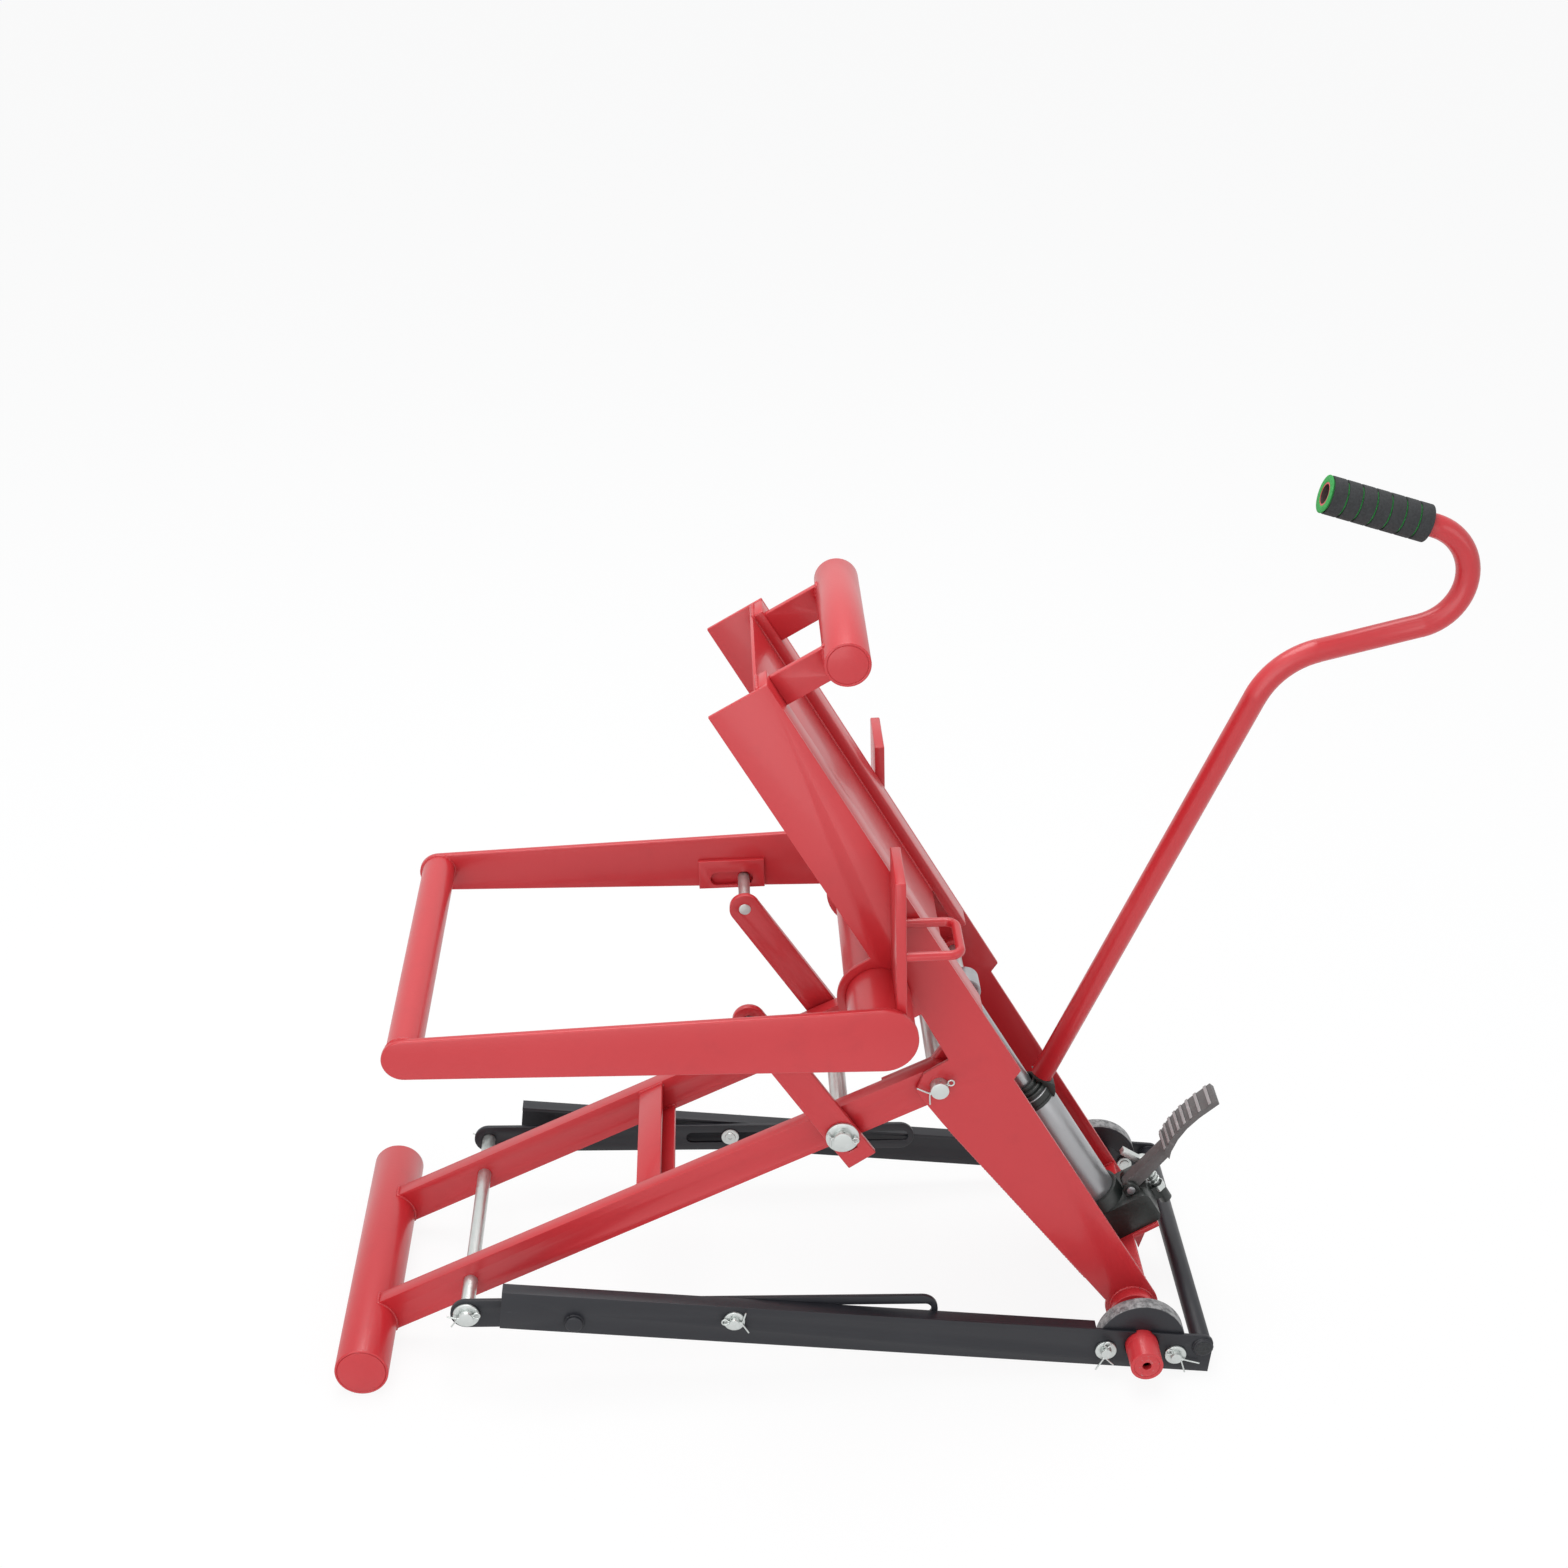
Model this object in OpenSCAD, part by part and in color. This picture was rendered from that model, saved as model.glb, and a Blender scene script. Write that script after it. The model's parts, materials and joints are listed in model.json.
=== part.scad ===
// Lift jack with a foot pump and a level cradle, in its raised position.
// X runs along the rails towards the foot pedal, Y across, Z up from the floor.
// The left side is the one at negative Y.

/* [Lift geometry] */
// Lean of the mast from the vertical, in degrees
mast_lean = 30.8; // [29:0.2:33]
// Height of the main axle above the floor
axle_h = 39; // [38:0.5:41]
// Distance up the mast from the main axle to the arm pivot
pivot_up = 379; // [370:1:390]
// Distance of the arm pivot behind the line of the mast
pivot_back = 43; // [41:0.5:46]
// Length of the arms from the arm pivot to the foot tube
arm_len = 717; // [700:1:735]
// Distance up the mast from the main axle to the cradle hinge
cradle_up = 513.5; // [508:0.5:525]
// Distance of the cradle hinge behind the line of the mast
cradle_back = 43; // [40:0.5:45]

/* [Foot and arms] */
// Outside diameter of the foot tube
foot_d = 60.3; // [56:0.1:64]
// Wall of the foot tube
foot_wall = 3; // [2:0.5:5]
// Length of the foot tube
foot_len = 404; // [380:1:430]
// Depth of an arm bar
arm_h = 42; // [36:1:44]
// Width of an arm bar
arm_t = 18; // [14:1:18]
// Distance from the foot tube to the front rod
front_pin_at = 131; // [125:1:140]
// Diameter of the front rod
front_rod_d = 16; // [14:0.5:18]
// Distance from the arm pivot to the link rod
link_at = 121; // [115:1:130]
// Diameter of the link rod and of the pivot rod
pivot_rod_d = 20; // [16:0.5:22]
// Distance from the foot tube to the cross channel
cross_at = 352; // [330:1:380]
// Length of the tail lugs from the arm pivot to the thrust pin
tail_len = 62.4; // [60:0.2:64]

/* [Base] */
// Length of a rail
rail_len = 802; // [780:1:820]
// Depth of a rail
rail_h = 48.5; // [46:0.5:51]
// Thickness of a rail
rail_t = 4; // [3:0.5:5]
// Distance over both rails
rail_w = 386; // [382:1:392]
// Slope of the rails in the raised position, in degrees
rail_tilt = 5.8; // [5:0.1:6.5]
// Diameter of the rear cross bar
rear_bar_d = 22; // [18:0.5:24]
// Diameter of the axle tube
axle_d = 37; // [34:0.5:37.5]
// Length of the axle tube from end to end
axle_len = 460; // [440:1:480]
// Radius of an axle guard
guard_r = 50; // [46:0.5:54]
// Distance from the front rod to the rail pin along a tie bar
tie_pin_at = 299; // [292:0.5:306]
// Depth of a tie bar
tie_h = 36; // [33:1:38]
// Length of the slot in a tie bar
tie_slot_len = 262; // [258:1:266]

/* [Mast] */
// Length of the mast above the main axle
mast_len = 890; // [860:1:920]
// Distance over both side plates
mast_w = 240; // [238:1:241]
// Thickness of a side plate
mast_t = 5; // [4:0.5:5]
// Depth of the lower side plates in front of the axle line
mast_front = 30.5; // [28:0.5:32]
// Depth of the upper mast in front of the axle line
mast_face = 43; // [41:0.5:46]
// Depth of the upper mast behind the axle line
mast_rear = 27; // [24:0.5:30]
// Width of a front rail of the mast
face_rail_w = 35; // [30:1:38]
// Diameter of the top cross tube
top_tube_d = 48.3; // [42:0.1:52]
// Length of the top cross tube
top_tube_len = 240; // [220:1:260]

/* [Cradle] */
// Distance between the two cradle tubes
cradle_len = 502; // [480:1:520]
// Width of the cradle over its side bars
cradle_w = 426; // [424:1:440]
// Thickness of a cradle side bar
cradle_bar_t = 8; // [6:0.5:8]
// Radius of the front end of a side bar
bar_front_r = 23.2; // [21:0.1:26]
// Radius of the rear end of a side bar
bar_rear_r = 37; // [36:0.5:40]
// Diameter of the front cradle tube
front_tube_d = 38; // [34:0.5:40]
// Diameter of the rear cradle tube
rear_tube_d = 70; // [68:0.5:71]
// Slope of the cradle in the raised position, in degrees
cradle_tilt = 1.6; // [0:0.1:2]
// Height of the wheel stops above the cradle hinge
stop_h = 182; // [160:1:200]

/* [Level links] */
// Width of a level link
link_w = 36; // [34:0.5:38]
// Thickness of a level link
link_t = 8; // [6:0.5:8]
// Distance between the pins of a level link
link_len = 181.3; // [179:0.1:183]
// Direction of the level links from the link rod, in degrees
link_slope = 124.3; // [123.5:0.1:125]

/* [Hydraulics] */
// Outside diameter of the ram cylinder
ram_d = 52; // [50:0.5:58]
// Bore of the ram cylinder
ram_bore_d = 40; // [34:0.5:42]
// Diameter of the piston rod
rod_d = 22; // [18:0.5:24]
// Height of the cylinder foot above the axle
ram_foot = 68; // [66:1:70]
// Length of the ram cylinder
ram_len = 178; // [170:1:180]
// Width of the pump block across the lift
block_w = 64; // [58:1:68]
// Diameter of the pump plunger
plunger_d = 10; // [8:0.5:11]
// Number of curls of the return spring
spring_turns = 4; // [3:0.5:5]
// Diameter of the spring wire
spring_wire = 1.8; // [1.4:0.1:2]
// Width of the foot pedal pad
pad_w = 38; // [34:1:42]

/* [Handle] */
// Diameter of the handle tube
handle_d = 25.4; // [24:0.1:26]
// Wall of the handle tube
handle_wall = 2; // [1.5:0.25:3]
// Length of the straight shaft of the handle
shaft_len = 516.5; // [480:0.5:540]
// Length of the foam grip
grip_len = 116; // [105:1:122]
// Diameter of the foam grip
grip_d = 41; // [38:0.5:43]

/* [Hidden] */
$fn = 64;

// Finishes
red = "#b8333a";
black = "#2b2b2f";
zinc = "#b9bcbf";
cast = "#3c403e";
steel = "#9a9ea0";
green = "#35b34a";
foam = "#26282b";

// Clearances, washers and split pins
cut = 1;
run_gap = 0.06;
side_gap = 0.3;
washer_t = 3;
base_pin_d = 12;
base_washer_d = 24;
front_washer_d = 30;
link_washer_d = 37;
cotter_d = 3;
cotter_room = 2;
cotter_eye_r = 4;
cotter_leg = 13;
cotter_splay = 32;

// Places along the lift, seen from the left
function along(angle, length) = [length * cos(angle), length * sin(angle)];
function turned(p, angle) =
    [p[0] * cos(angle) - p[1] * sin(angle), p[0] * sin(angle) + p[1] * cos(angle)];
function from_mast(p) = [0, axle_h] + turned(p, mast_lean);
foot_r = foot_d / 2;
pivot_2 = [-pivot_back, pivot_up];
hinge_2 = [-cradle_back, cradle_up];
pivot_at = from_mast(pivot_2);
hinge_at = from_mast(hinge_2);
arm_slope = asin((pivot_at[1] - foot_r) / arm_len);
foot_x = pivot_at[0] - arm_len * cos(arm_slope);
front_at = [foot_x, foot_r] + along(arm_slope, front_pin_at);
link_drop = 6;
link_2 = [-link_at, -link_drop];
link_rod_at = pivot_at + turned(link_2, arm_slope);

// The handle is bent in the plane of the lift
handle_foot = [36.6, 256.7];
shaft_angle = 66.23;
crank_angle = 14.4;
grip_angle = 163.1;
knee_r = 95.6;
bow_r = 58.3;
crank_len = 110;
grip_at = 8.7;
grip_over = -0.5;
grip_run = grip_at + grip_len + grip_over;
shaft_start = from_mast(handle_foot);
shaft_end = shaft_start + along(shaft_angle, shaft_len);
knee_centre = shaft_end + along(shaft_angle - 90, knee_r);
knee_end = knee_centre + along(crank_angle + 90, knee_r);
crank_end = knee_end + along(crank_angle, crank_len);
bow_centre = crank_end + along(crank_angle + 90, bow_r);
bow_end = bow_centre + along(grip_angle - 90, bow_r);
handle_right = bow_centre[0] + bow_r + handle_d / 2;

// The origin is under the middle of the whole outline
mid_x = (foot_x - foot_r + handle_right) / 2;

// Frames that the pieces are drawn in
module lift_frame() { translate([-mid_x, 0, 0]) children(); }
module place(p, angle) { lift_frame() translate([p[0], 0, p[1]]) rotate([0, -angle, 0]) children(); }
module mast_frame() { place([0, axle_h], mast_lean) children(); }
module arm_frame() { place(pivot_at, arm_slope) children(); }
module cradle_frame() { place(hinge_at, cradle_tilt) children(); }
module link_frame() { place(link_rod_at, link_slope) children(); }
module rail_frame() { place([rail_end, 0], -rail_tilt) children(); }
module tie_frame() { place(front_at, -tie_drop) children(); }

// A side outline between two distances on the left, the same on the right, and rods across
module slab(near, far) {
    translate([0, -near, 0]) rotate([90, 0, 0]) linear_extrude(far - near) children();
}
module plate_across(width) { slab(-width / 2, width / 2) children(); }
module right_side() { mirror([0, 1, 0]) children(); }
module both() {
    children();
    right_side() children();
}
module at(p) { translate([p[0], 0, p[1]]) children(); }
module at_2(p) { translate([p[0], p[1]]) children(); }
module ring(outer, inner) {
    difference() {
        circle(d = outer);
        circle(d = inner);
    }
}
module bar_2(from, to, height) {
    translate([from, -height / 2]) square([to - from, height]);
}

// A split pin through a rod that lies across, its eye up
module cotter(pin_d, angle) {
    shank = pin_d / 2 + cotter_room;
    rotate([0, angle, 0]) {
        translate([0, 0, -shank]) cylinder(h = 2 * shank, d = cotter_d);
        translate([0, 0, shank + cotter_eye_r]) rotate([90, 0, 0]) rotate_extrude()
            translate([cotter_eye_r, 0]) circle(d = cotter_d);
        translate([0, 0, -shank]) sphere(d = cotter_d);
        for (side = [-1, 1])
            translate([0, 0, -shank]) rotate([0, 180 + side * cotter_splay, 0])
                cylinder(h = cotter_leg, d = cotter_d);
    }
}
module cotter_hole(pin_d, angle) {
    rotate([0, angle, 0]) cylinder(h = pin_d + 2 * cut, d = cotter_d, center = true);
}

// Base
rail_y = rail_w / 2;
rail_flange = 17;
rail_corner = 11;
flange_from = 135;
axle_u = 80.945;
axle_v = (axle_h - axle_u * sin(rail_tilt)) / cos(rail_tilt);
rail_end = axle_u * cos(rail_tilt) - axle_v * sin(rail_tilt);
axle_2 = [-axle_u, axle_v];
axle_room = 1;
guard_pin_u = 40;
guard_pin_drop = 9;
front_2 = turned(front_at - [rail_end, 0], rail_tilt);
rail_pin_up = 31;
pin_over_bar = 1.7;
tie_drop = rail_tilt - asin((rail_pin_up - pin_over_bar - front_2[1]) / tie_pin_at);
rail_pin_at = front_at + along(-tie_drop, tie_pin_at);
rail_pin_2 = turned(rail_pin_at - [rail_end, 0], rail_tilt) + [0, pin_over_bar];
rear_bar_2 = [-11.5, 34];
rear_bar_over = 3;
stud_2 = [-720, 14];
stud_d = 20;
stud_in = 8;
stud_out = 5;
guard_y = rail_y - rail_t;
guard_t = 5;
guard_rim = 17;
guard_skirt = 19;
pin_out = 9;
cotter_at = 5;
guard_pin_in = 11;
guard_head_d = 18;
guard_head_t = 4;
function guard_pin_2(side) = axle_2 + [side * guard_pin_u, -guard_pin_drop];

module rail() {
    color(black) rail_frame() difference() {
        union() {
            slab(rail_y - rail_t, rail_y) {
                translate([-rail_len, 0]) square([rail_len, rail_h - rail_corner]);
                translate([-rail_len, 0]) square([rail_len - rail_corner, rail_h]);
                translate([-rail_corner, rail_h - rail_corner]) circle(r = rail_corner);
            }
            slab(rail_y - rail_flange, rail_y) translate([-rail_len, rail_h - rail_t])
                square([rail_len - flange_from, rail_t]);
        }
        slab(rail_y - rail_t - cut, rail_y + cut) {
            at_2(axle_2) circle(d = axle_d + 2 * axle_room);
            at_2(rail_pin_2) circle(d = base_pin_d);
            at_2(guard_pin_2(-1)) circle(d = base_pin_d);
            at_2(guard_pin_2(1)) circle(d = base_pin_d);
            at_2(rear_bar_2) circle(d = rear_bar_d);
            at_2(stud_2) circle(d = stud_d);
        }
    }
}
module rail_left() { rail(); }
module rail_right() { right_side() rail(); }
module rear_cross_bar() {
    color(black) rail_frame() at(rear_bar_2) plate_across(rail_w + 2 * rear_bar_over)
        circle(d = rear_bar_d);
}
module axle_guard() {
    color(black) rail_frame() difference() {
        union() {
            slab(guard_y - guard_t, guard_y) at_2(axle_2) {
                guard_half() circle(r = guard_r);
                translate([-guard_r, -guard_skirt]) square([2 * guard_r, guard_skirt]);
            }
            slab(guard_y - guard_rim, guard_y) at_2(axle_2) guard_half()
                ring(2 * guard_r, 2 * (guard_r - rail_t));
        }
        slab(guard_y - guard_t - cut, guard_y + cut) {
            at_2(axle_2) circle(d = axle_d + 2 * run_gap);
            at_2(guard_pin_2(-1)) circle(d = base_pin_d);
            at_2(guard_pin_2(1)) circle(d = base_pin_d);
        }
    }
}
module guard_half() {
    intersection() {
        children();
        translate([-guard_r, 0]) square([2 * guard_r, guard_r]);
    }
}
module axle_guard_left() { axle_guard(); }
module axle_guard_right() { right_side() axle_guard(); }
module guard_pins() {
    color(zinc) both() rail_frame() for (side = [-1, 1]) at(guard_pin_2(side)) difference() {
        union() {
            slab(rail_y - guard_pin_in - guard_head_t, rail_y + pin_out) circle(d = base_pin_d);
            slab(guard_y - guard_t - guard_head_t, guard_y - guard_t) circle(d = guard_head_d);
        }
        translate([0, -rail_y - cotter_at, 0]) cotter_hole(base_pin_d, side * cotter_turn);
    }
}
cotter_turn = 35;
rail_pin_in = 16;
rail_pin_tip = 26;
rail_tip_d = 6;
module rail_pins() {
    color(zinc) both() rail_frame() at(rail_pin_2) difference() {
        union() {
            slab(rail_y - rail_pin_in, rail_y + pin_out) circle(d = base_pin_d);
            slab(rail_y - rail_pin_tip, rail_y) circle(d = rail_tip_d);
        }
        translate([0, -rail_y - cotter_at, 0]) cotter_hole(base_pin_d, -cotter_turn);
    }
}
module rail_studs() {
    color(black) both() rail_frame() at(stud_2)
        slab(rail_y - stud_in, rail_y + stud_out) circle(d = stud_d);
}
module base_washers() {
    color(zinc) both() rail_frame() {
        for (side = [-1, 1]) at(guard_pin_2(side)) base_washer();
        at(rail_pin_2) base_washer();
    }
}
module base_washer() { slab(rail_y, rail_y + washer_t) ring(base_washer_d, base_pin_d); }
module base_cotters() {
    color(zinc) both() rail_frame() translate([0, -rail_y - cotter_at, 0]) {
        for (side = [-1, 1]) at(guard_pin_2(side)) cotter(base_pin_d, side * cotter_turn);
        at(rail_pin_2) cotter(base_pin_d, -cotter_turn);
    }
}

// Mast
mast_y = mast_w / 2;
mast_in = mast_y - mast_t;
step_s = 342;
step_rise = 6;
neck = 15;
neck_low = [-18, 402];
ear_r = 44.6;
pivot_ear = [[-7, 22], [-24.6, 8], [-23.4, -18.4], [-20.9, -46.2]];
foot_edge = [-22.8, 22.4];
module mast_outline() {
    circle(r = mast_front);
    at_2(hinge_2) circle(r = ear_r);
    translate([-cradle_back, cradle_up - ear_r]) square([cradle_back - neck, 2 * ear_r]);
    polygon(concat([[mast_front, 0], [mast_front, step_s], [mast_face, step_s + step_rise],
        [mast_face, mast_len], [-mast_rear, mast_len], [-mast_rear, cradle_up],
        [-neck, cradle_up - ear_r], neck_low], [for (p = pivot_ear) pivot_2 + p], [foot_edge]));
}
module mast_plate() {
    color(red) mast_frame() slab(mast_in, mast_y) difference() {
        mast_outline();
        circle(d = axle_d);
        at_2(pivot_2) circle(d = pivot_rod_d);
        at_2(hinge_2) circle(d = rear_tube_d + 2 * run_gap);
    }
}
module mast_plate_left() { mast_plate(); }
module mast_plate_right() { right_side() mast_plate(); }
edge_top = pivot_2 + pivot_ear[len(pivot_ear) - 1];
back_low = 60;
back_high = 320;
function edge_n(s) = foot_edge[0] + (s - foot_edge[1]) * (edge_top[0] - foot_edge[0])
    / (edge_top[1] - foot_edge[1]);
module mast_back_plate() {
    color(red) mast_frame() plate_across(2 * mast_in) polygon([[edge_n(back_low), back_low],
        [edge_n(back_low) + mast_t, back_low], [edge_n(back_high) + mast_t, back_high],
        [edge_n(back_high), back_high]]);
}
face_from = 432;
face_t = 12;
web_from = 490;
web_t = 4;
module face_rails() {
    color(red) both() mast_frame() slab(mast_in - face_rail_w, mast_in)
        translate([mast_face - face_t, face_from]) square([face_t, mast_len - face_from]);
}
module mast_web() {
    color(red) mast_frame() plate_across(2 * mast_in)
        translate([mast_face - face_t - web_t, web_from]) square([web_t, mast_len - web_from]);
}
top_tube_2 = [124, 866];
top_wall = 3;
lug_t = 8;
lug_y = 82;
lug_h = 36;
module top_cross_tube() {
    color(red) mast_frame() at(top_tube_2) plate_across(top_tube_len)
        ring(top_tube_d, top_tube_d - 2 * top_wall);
}
top_cap_t = 4;
module top_tube_caps() {
    color(red) both() mast_frame() at(top_tube_2)
        slab(top_tube_len / 2 - top_cap_t, top_tube_len / 2) circle(d = top_tube_d - 2 * top_wall);
}
module top_lugs() {
    color(red) both() mast_frame() slab(lug_y, lug_y + lug_t) difference() {
        translate([mast_face, top_tube_2[1] - lug_h / 2])
            square([top_tube_2[0] - mast_face, lug_h]);
        at_2(top_tube_2) circle(d = top_tube_d);
    }
}
axle_wall = 4;
plug_t = 8;
plug_hole_d = 10;
collar_d = 50;
collar_len = 15;
axle_in_d = axle_d - 2 * axle_wall;
seat_len = 30;
seat_step = 0.25;
module axle_tube() {
    color(red) mast_frame() {
        plate_across(axle_len - 2 * seat_len) ring(axle_d, axle_in_d);
        plate_across(axle_len) ring(axle_d - 2 * seat_step, axle_in_d);
    }
}
module axle_plugs() {
    color(cast) both() mast_frame() slab(axle_len / 2 - plug_t, axle_len / 2)
        ring(axle_in_d, plug_hole_d);
}
module axle_collars() {
    color(red) both() mast_frame() slab(mast_y, mast_y + collar_len) ring(collar_d, axle_d);
}
block_bottom = 25;
bracket_t = 6;
bracket_n = -19;
bracket_mid_n = 29;
bracket_reach = 62;
tongue_w = 70;
gusset_t = 6;
gusset_top_n = 26;
gusset_tip = [19.6, -20];
bracket_s = block_bottom - bracket_t;
module pump_bracket() {
    color(red) mast_frame() {
        plate_across(2 * mast_in) translate([bracket_n, bracket_s])
            square([bracket_mid_n - bracket_n, bracket_t]);
        plate_across(tongue_w) translate([bracket_mid_n, bracket_s])
            square([bracket_reach - bracket_mid_n, bracket_t]);
        plate_across(gusset_t)
            polygon([[gusset_top_n, bracket_s], gusset_tip, [bracket_reach, bracket_s],
                [bracket_reach, block_bottom], [gusset_top_n, block_bottom]]);
    }
}
pivot_over = 12;
pivot_cotter_at = 6;
module pivot_rod() {
    color(zinc) mast_frame() at(pivot_2) difference() {
        plate_across(mast_w + 2 * pivot_over) circle(d = pivot_rod_d);
        for (side = [-1, 1]) translate([0, side * (mast_y + pivot_cotter_at), 0])
            cotter_hole(pivot_rod_d, cotter_turn);
    }
}
module pivot_cotters() {
    color(zinc) both() mast_frame() at(pivot_2) translate([0, -mast_y - pivot_cotter_at, 0])
        cotter(pivot_rod_d, cotter_turn);
}

// Foot and arms
arm_gap = 1;
arm_y = mast_in - arm_gap;
arm_in = arm_y - arm_t;
cap_t = 4;
foot_in_d = foot_d - 2 * foot_wall;
module foot_tube() {
    color(red) arm_frame() at([-arm_len, 0]) plate_across(foot_len) ring(foot_d, foot_in_d);
}
module foot_caps() {
    color(red) both() arm_frame() at([-arm_len, 0]) slab(foot_len / 2 - cap_t, foot_len / 2)
        circle(d = foot_in_d);
}
module arm() {
    color(red) arm_frame() slab(arm_in, arm_y) difference() {
        union() {
            bar_2(-arm_len, 0, arm_h);
            circle(d = arm_h);
        }
        translate([-arm_len, 0]) circle(d = foot_d);
        circle(d = pivot_rod_d + 2 * run_gap);
        at_2(link_2) circle(d = pivot_rod_d);
        translate([front_pin_at - arm_len, 0]) circle(d = front_rod_d);
    }
}
module arm_left() { arm(); }
module arm_right() { right_side() arm(); }
channel_h = 38;
channel_t = 4;
channel_flange = 30;
module cross_channel() {
    color(red) arm_frame() plate_across(2 * arm_in) translate([cross_at - arm_len, -channel_h / 2])
        difference() {
            square([channel_flange, channel_h]);
            translate([channel_t, channel_t])
                square([channel_flange, channel_h - 2 * channel_t]);
        }
}
tie_y = rail_y - rail_flange - arm_gap;
tie_t = 5;
front_over = 10;
front_cotter_at = 6.5;
link_y = mast_y + arm_gap + link_t;
link_over = 10;
link_cotter_at = 6.5;
module front_rod() {
    color(zinc) arm_frame() at([front_pin_at - arm_len, 0]) difference() {
        plate_across(2 * (tie_y + front_over)) circle(d = front_rod_d);
        for (side = [-1, 1]) translate([0, side * (tie_y + front_cotter_at), 0])
            cotter_hole(front_rod_d, -cotter_turn);
    }
}
module link_rod() {
    color(zinc) arm_frame() at(link_2) difference() {
        plate_across(2 * (link_y + link_over)) circle(d = pivot_rod_d);
        for (side = [-1, 1]) translate([0, side * (link_y + link_cotter_at), 0])
            cotter_hole(pivot_rod_d, cotter_turn);
    }
}
module arm_washers() {
    color(zinc) both() arm_frame() {
        at([front_pin_at - arm_len, 0]) slab(tie_y + side_gap, tie_y + side_gap + washer_t)
            ring(front_washer_d, front_rod_d);
        at(link_2) slab(link_y + side_gap, link_y + side_gap + washer_t)
            ring(link_washer_d, pivot_rod_d);
    }
}
module arm_cotters() {
    color(zinc) both() arm_frame() {
        at([front_pin_at - arm_len, 0]) translate([0, -tie_y - front_cotter_at, 0])
            cotter(front_rod_d, -cotter_turn);
        at(link_2) translate([0, -link_y - link_cotter_at, 0]) cotter(pivot_rod_d, cotter_turn);
    }
}
tail_angle = 32;
tail_t = 12;
tail_root = 60;
tail_w = 28;
tail_root_w = 34;
thrust_d = 16;
tail_2 = along(tail_angle, tail_len);
module tail_lugs() {
    color(red) both() arm_frame() slab(arm_in - tail_t, arm_in) difference() {
        union() {
            bar_2(-tail_root, 0, tail_root_w);
            circle(d = tail_root_w);
            rotate(tail_angle) bar_2(0, tail_len, tail_w);
            at_2(tail_2) circle(d = tail_w);
        }
        circle(d = pivot_rod_d + 2 * run_gap);
        at_2(tail_2) circle(d = thrust_d);
    }
}
module thrust_pin() {
    color(zinc) arm_frame() at(tail_2) plate_across(2 * arm_in) circle(d = thrust_d);
}

// Tie bars
tie_slot_from = 252;
tie_slot_w = 14.6;
tie_slot_end = tie_slot_from + tie_slot_len;
tie_len = tie_slot_end - tie_slot_w / 4;
module tie_bar() {
    color(black) tie_frame() slab(tie_y - tie_t, tie_y) difference() {
        union() {
            circle(d = tie_h);
            bar_2(0, tie_len, tie_h);
            translate([tie_len, 0]) circle(d = tie_h);
        }
        circle(d = front_rod_d + 2 * run_gap);
        translate([tie_slot_from, 0]) circle(d = tie_slot_w);
        bar_2(tie_slot_from, tie_slot_end, tie_slot_w);
        translate([tie_slot_end, 0]) circle(d = tie_slot_w);
    }
}
module tie_bar_left() { tie_bar(); }
module tie_bar_right() { right_side() tie_bar(); }

// Cradle
cradle_y = cradle_w / 2;
cradle_in = cradle_y - cradle_bar_t;
front_rise = 4;
cradle_wall = 3;
bar_taper = asin((bar_rear_r - bar_front_r) / cradle_len);
module cradle_bar() {
    color(red) cradle_frame() slab(cradle_in, cradle_y) {
        circle(r = bar_rear_r);
        translate([-cradle_len, 0]) circle(r = bar_front_r);
        polygon([bar_rear_r * [-sin(bar_taper), cos(bar_taper)],
            [-cradle_len, 0] + bar_front_r * [-sin(bar_taper), cos(bar_taper)],
            [-cradle_len, 0] + bar_front_r * [-sin(bar_taper), -cos(bar_taper)],
            bar_rear_r * [-sin(bar_taper), -cos(bar_taper)]]);
    }
}
module cradle_bar_left() { cradle_bar(); }
module cradle_bar_right() { right_side() cradle_bar(); }
module cradle_front_tube() {
    color(red) cradle_frame() at([-cradle_len, front_rise]) plate_across(2 * cradle_in)
        ring(front_tube_d, front_tube_d - 2 * cradle_wall);
}
module cradle_rear_tube() {
    color(red) cradle_frame() plate_across(2 * cradle_in)
        ring(rear_tube_d, rear_tube_d - 2 * cradle_wall);
}
stop_n = 14;
stop_t = 11;
stop_in = 122;
module wheel_stops() {
    color(red) both() cradle_frame() slab(stop_in, cradle_in) difference() {
        translate([stop_n, 0]) square([stop_t, stop_h]);
        circle(d = rear_tube_d);
    }
}
loop_d = 10;
loop_z = 93;
loop_out = 82;
loop_near = 199;
loop_far = 128;
loop_bend = 12;
loop_turn = 90;
module strap_loop() {
    from_x = stop_n + stop_t;
    color(red) cradle_frame() translate([0, 0, loop_z]) {
        for (y = [loop_near, loop_far]) translate([from_x, -y, 0]) rotate([0, 90, 0])
            cylinder(h = loop_out - loop_bend - from_x, d = loop_d);
        translate([loop_out - loop_bend, -loop_far - loop_bend, 0])
            rotate_extrude(angle = loop_turn) translate([loop_bend, 0]) circle(d = loop_d);
        translate([loop_out - loop_bend, -loop_near + loop_bend, 0]) rotate([0, 0, -loop_turn])
            rotate_extrude(angle = loop_turn) translate([loop_bend, 0]) circle(d = loop_d);
        translate([loop_out, -loop_far - loop_bend, 0]) rotate([90, 0, 0])
            cylinder(h = loop_near - loop_far - 2 * loop_bend, d = loop_d);
    }
}
guide_back = 30.8;
guide_ahead = 2.2;
link_top_2 = turned(link_rod_at + along(link_slope, link_len) - hinge_at, -cradle_tilt);
guide_from = link_top_2[0] - guide_back;
guide_to = link_top_2[0] + guide_ahead;
guide_z = link_top_2[1];
guide_slot_w = 17.2;
guide_end = 14;
guide_top = 4;
guide_foot = 32;
guide_plate_t = 6;
link_pin_d = 14;
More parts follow.
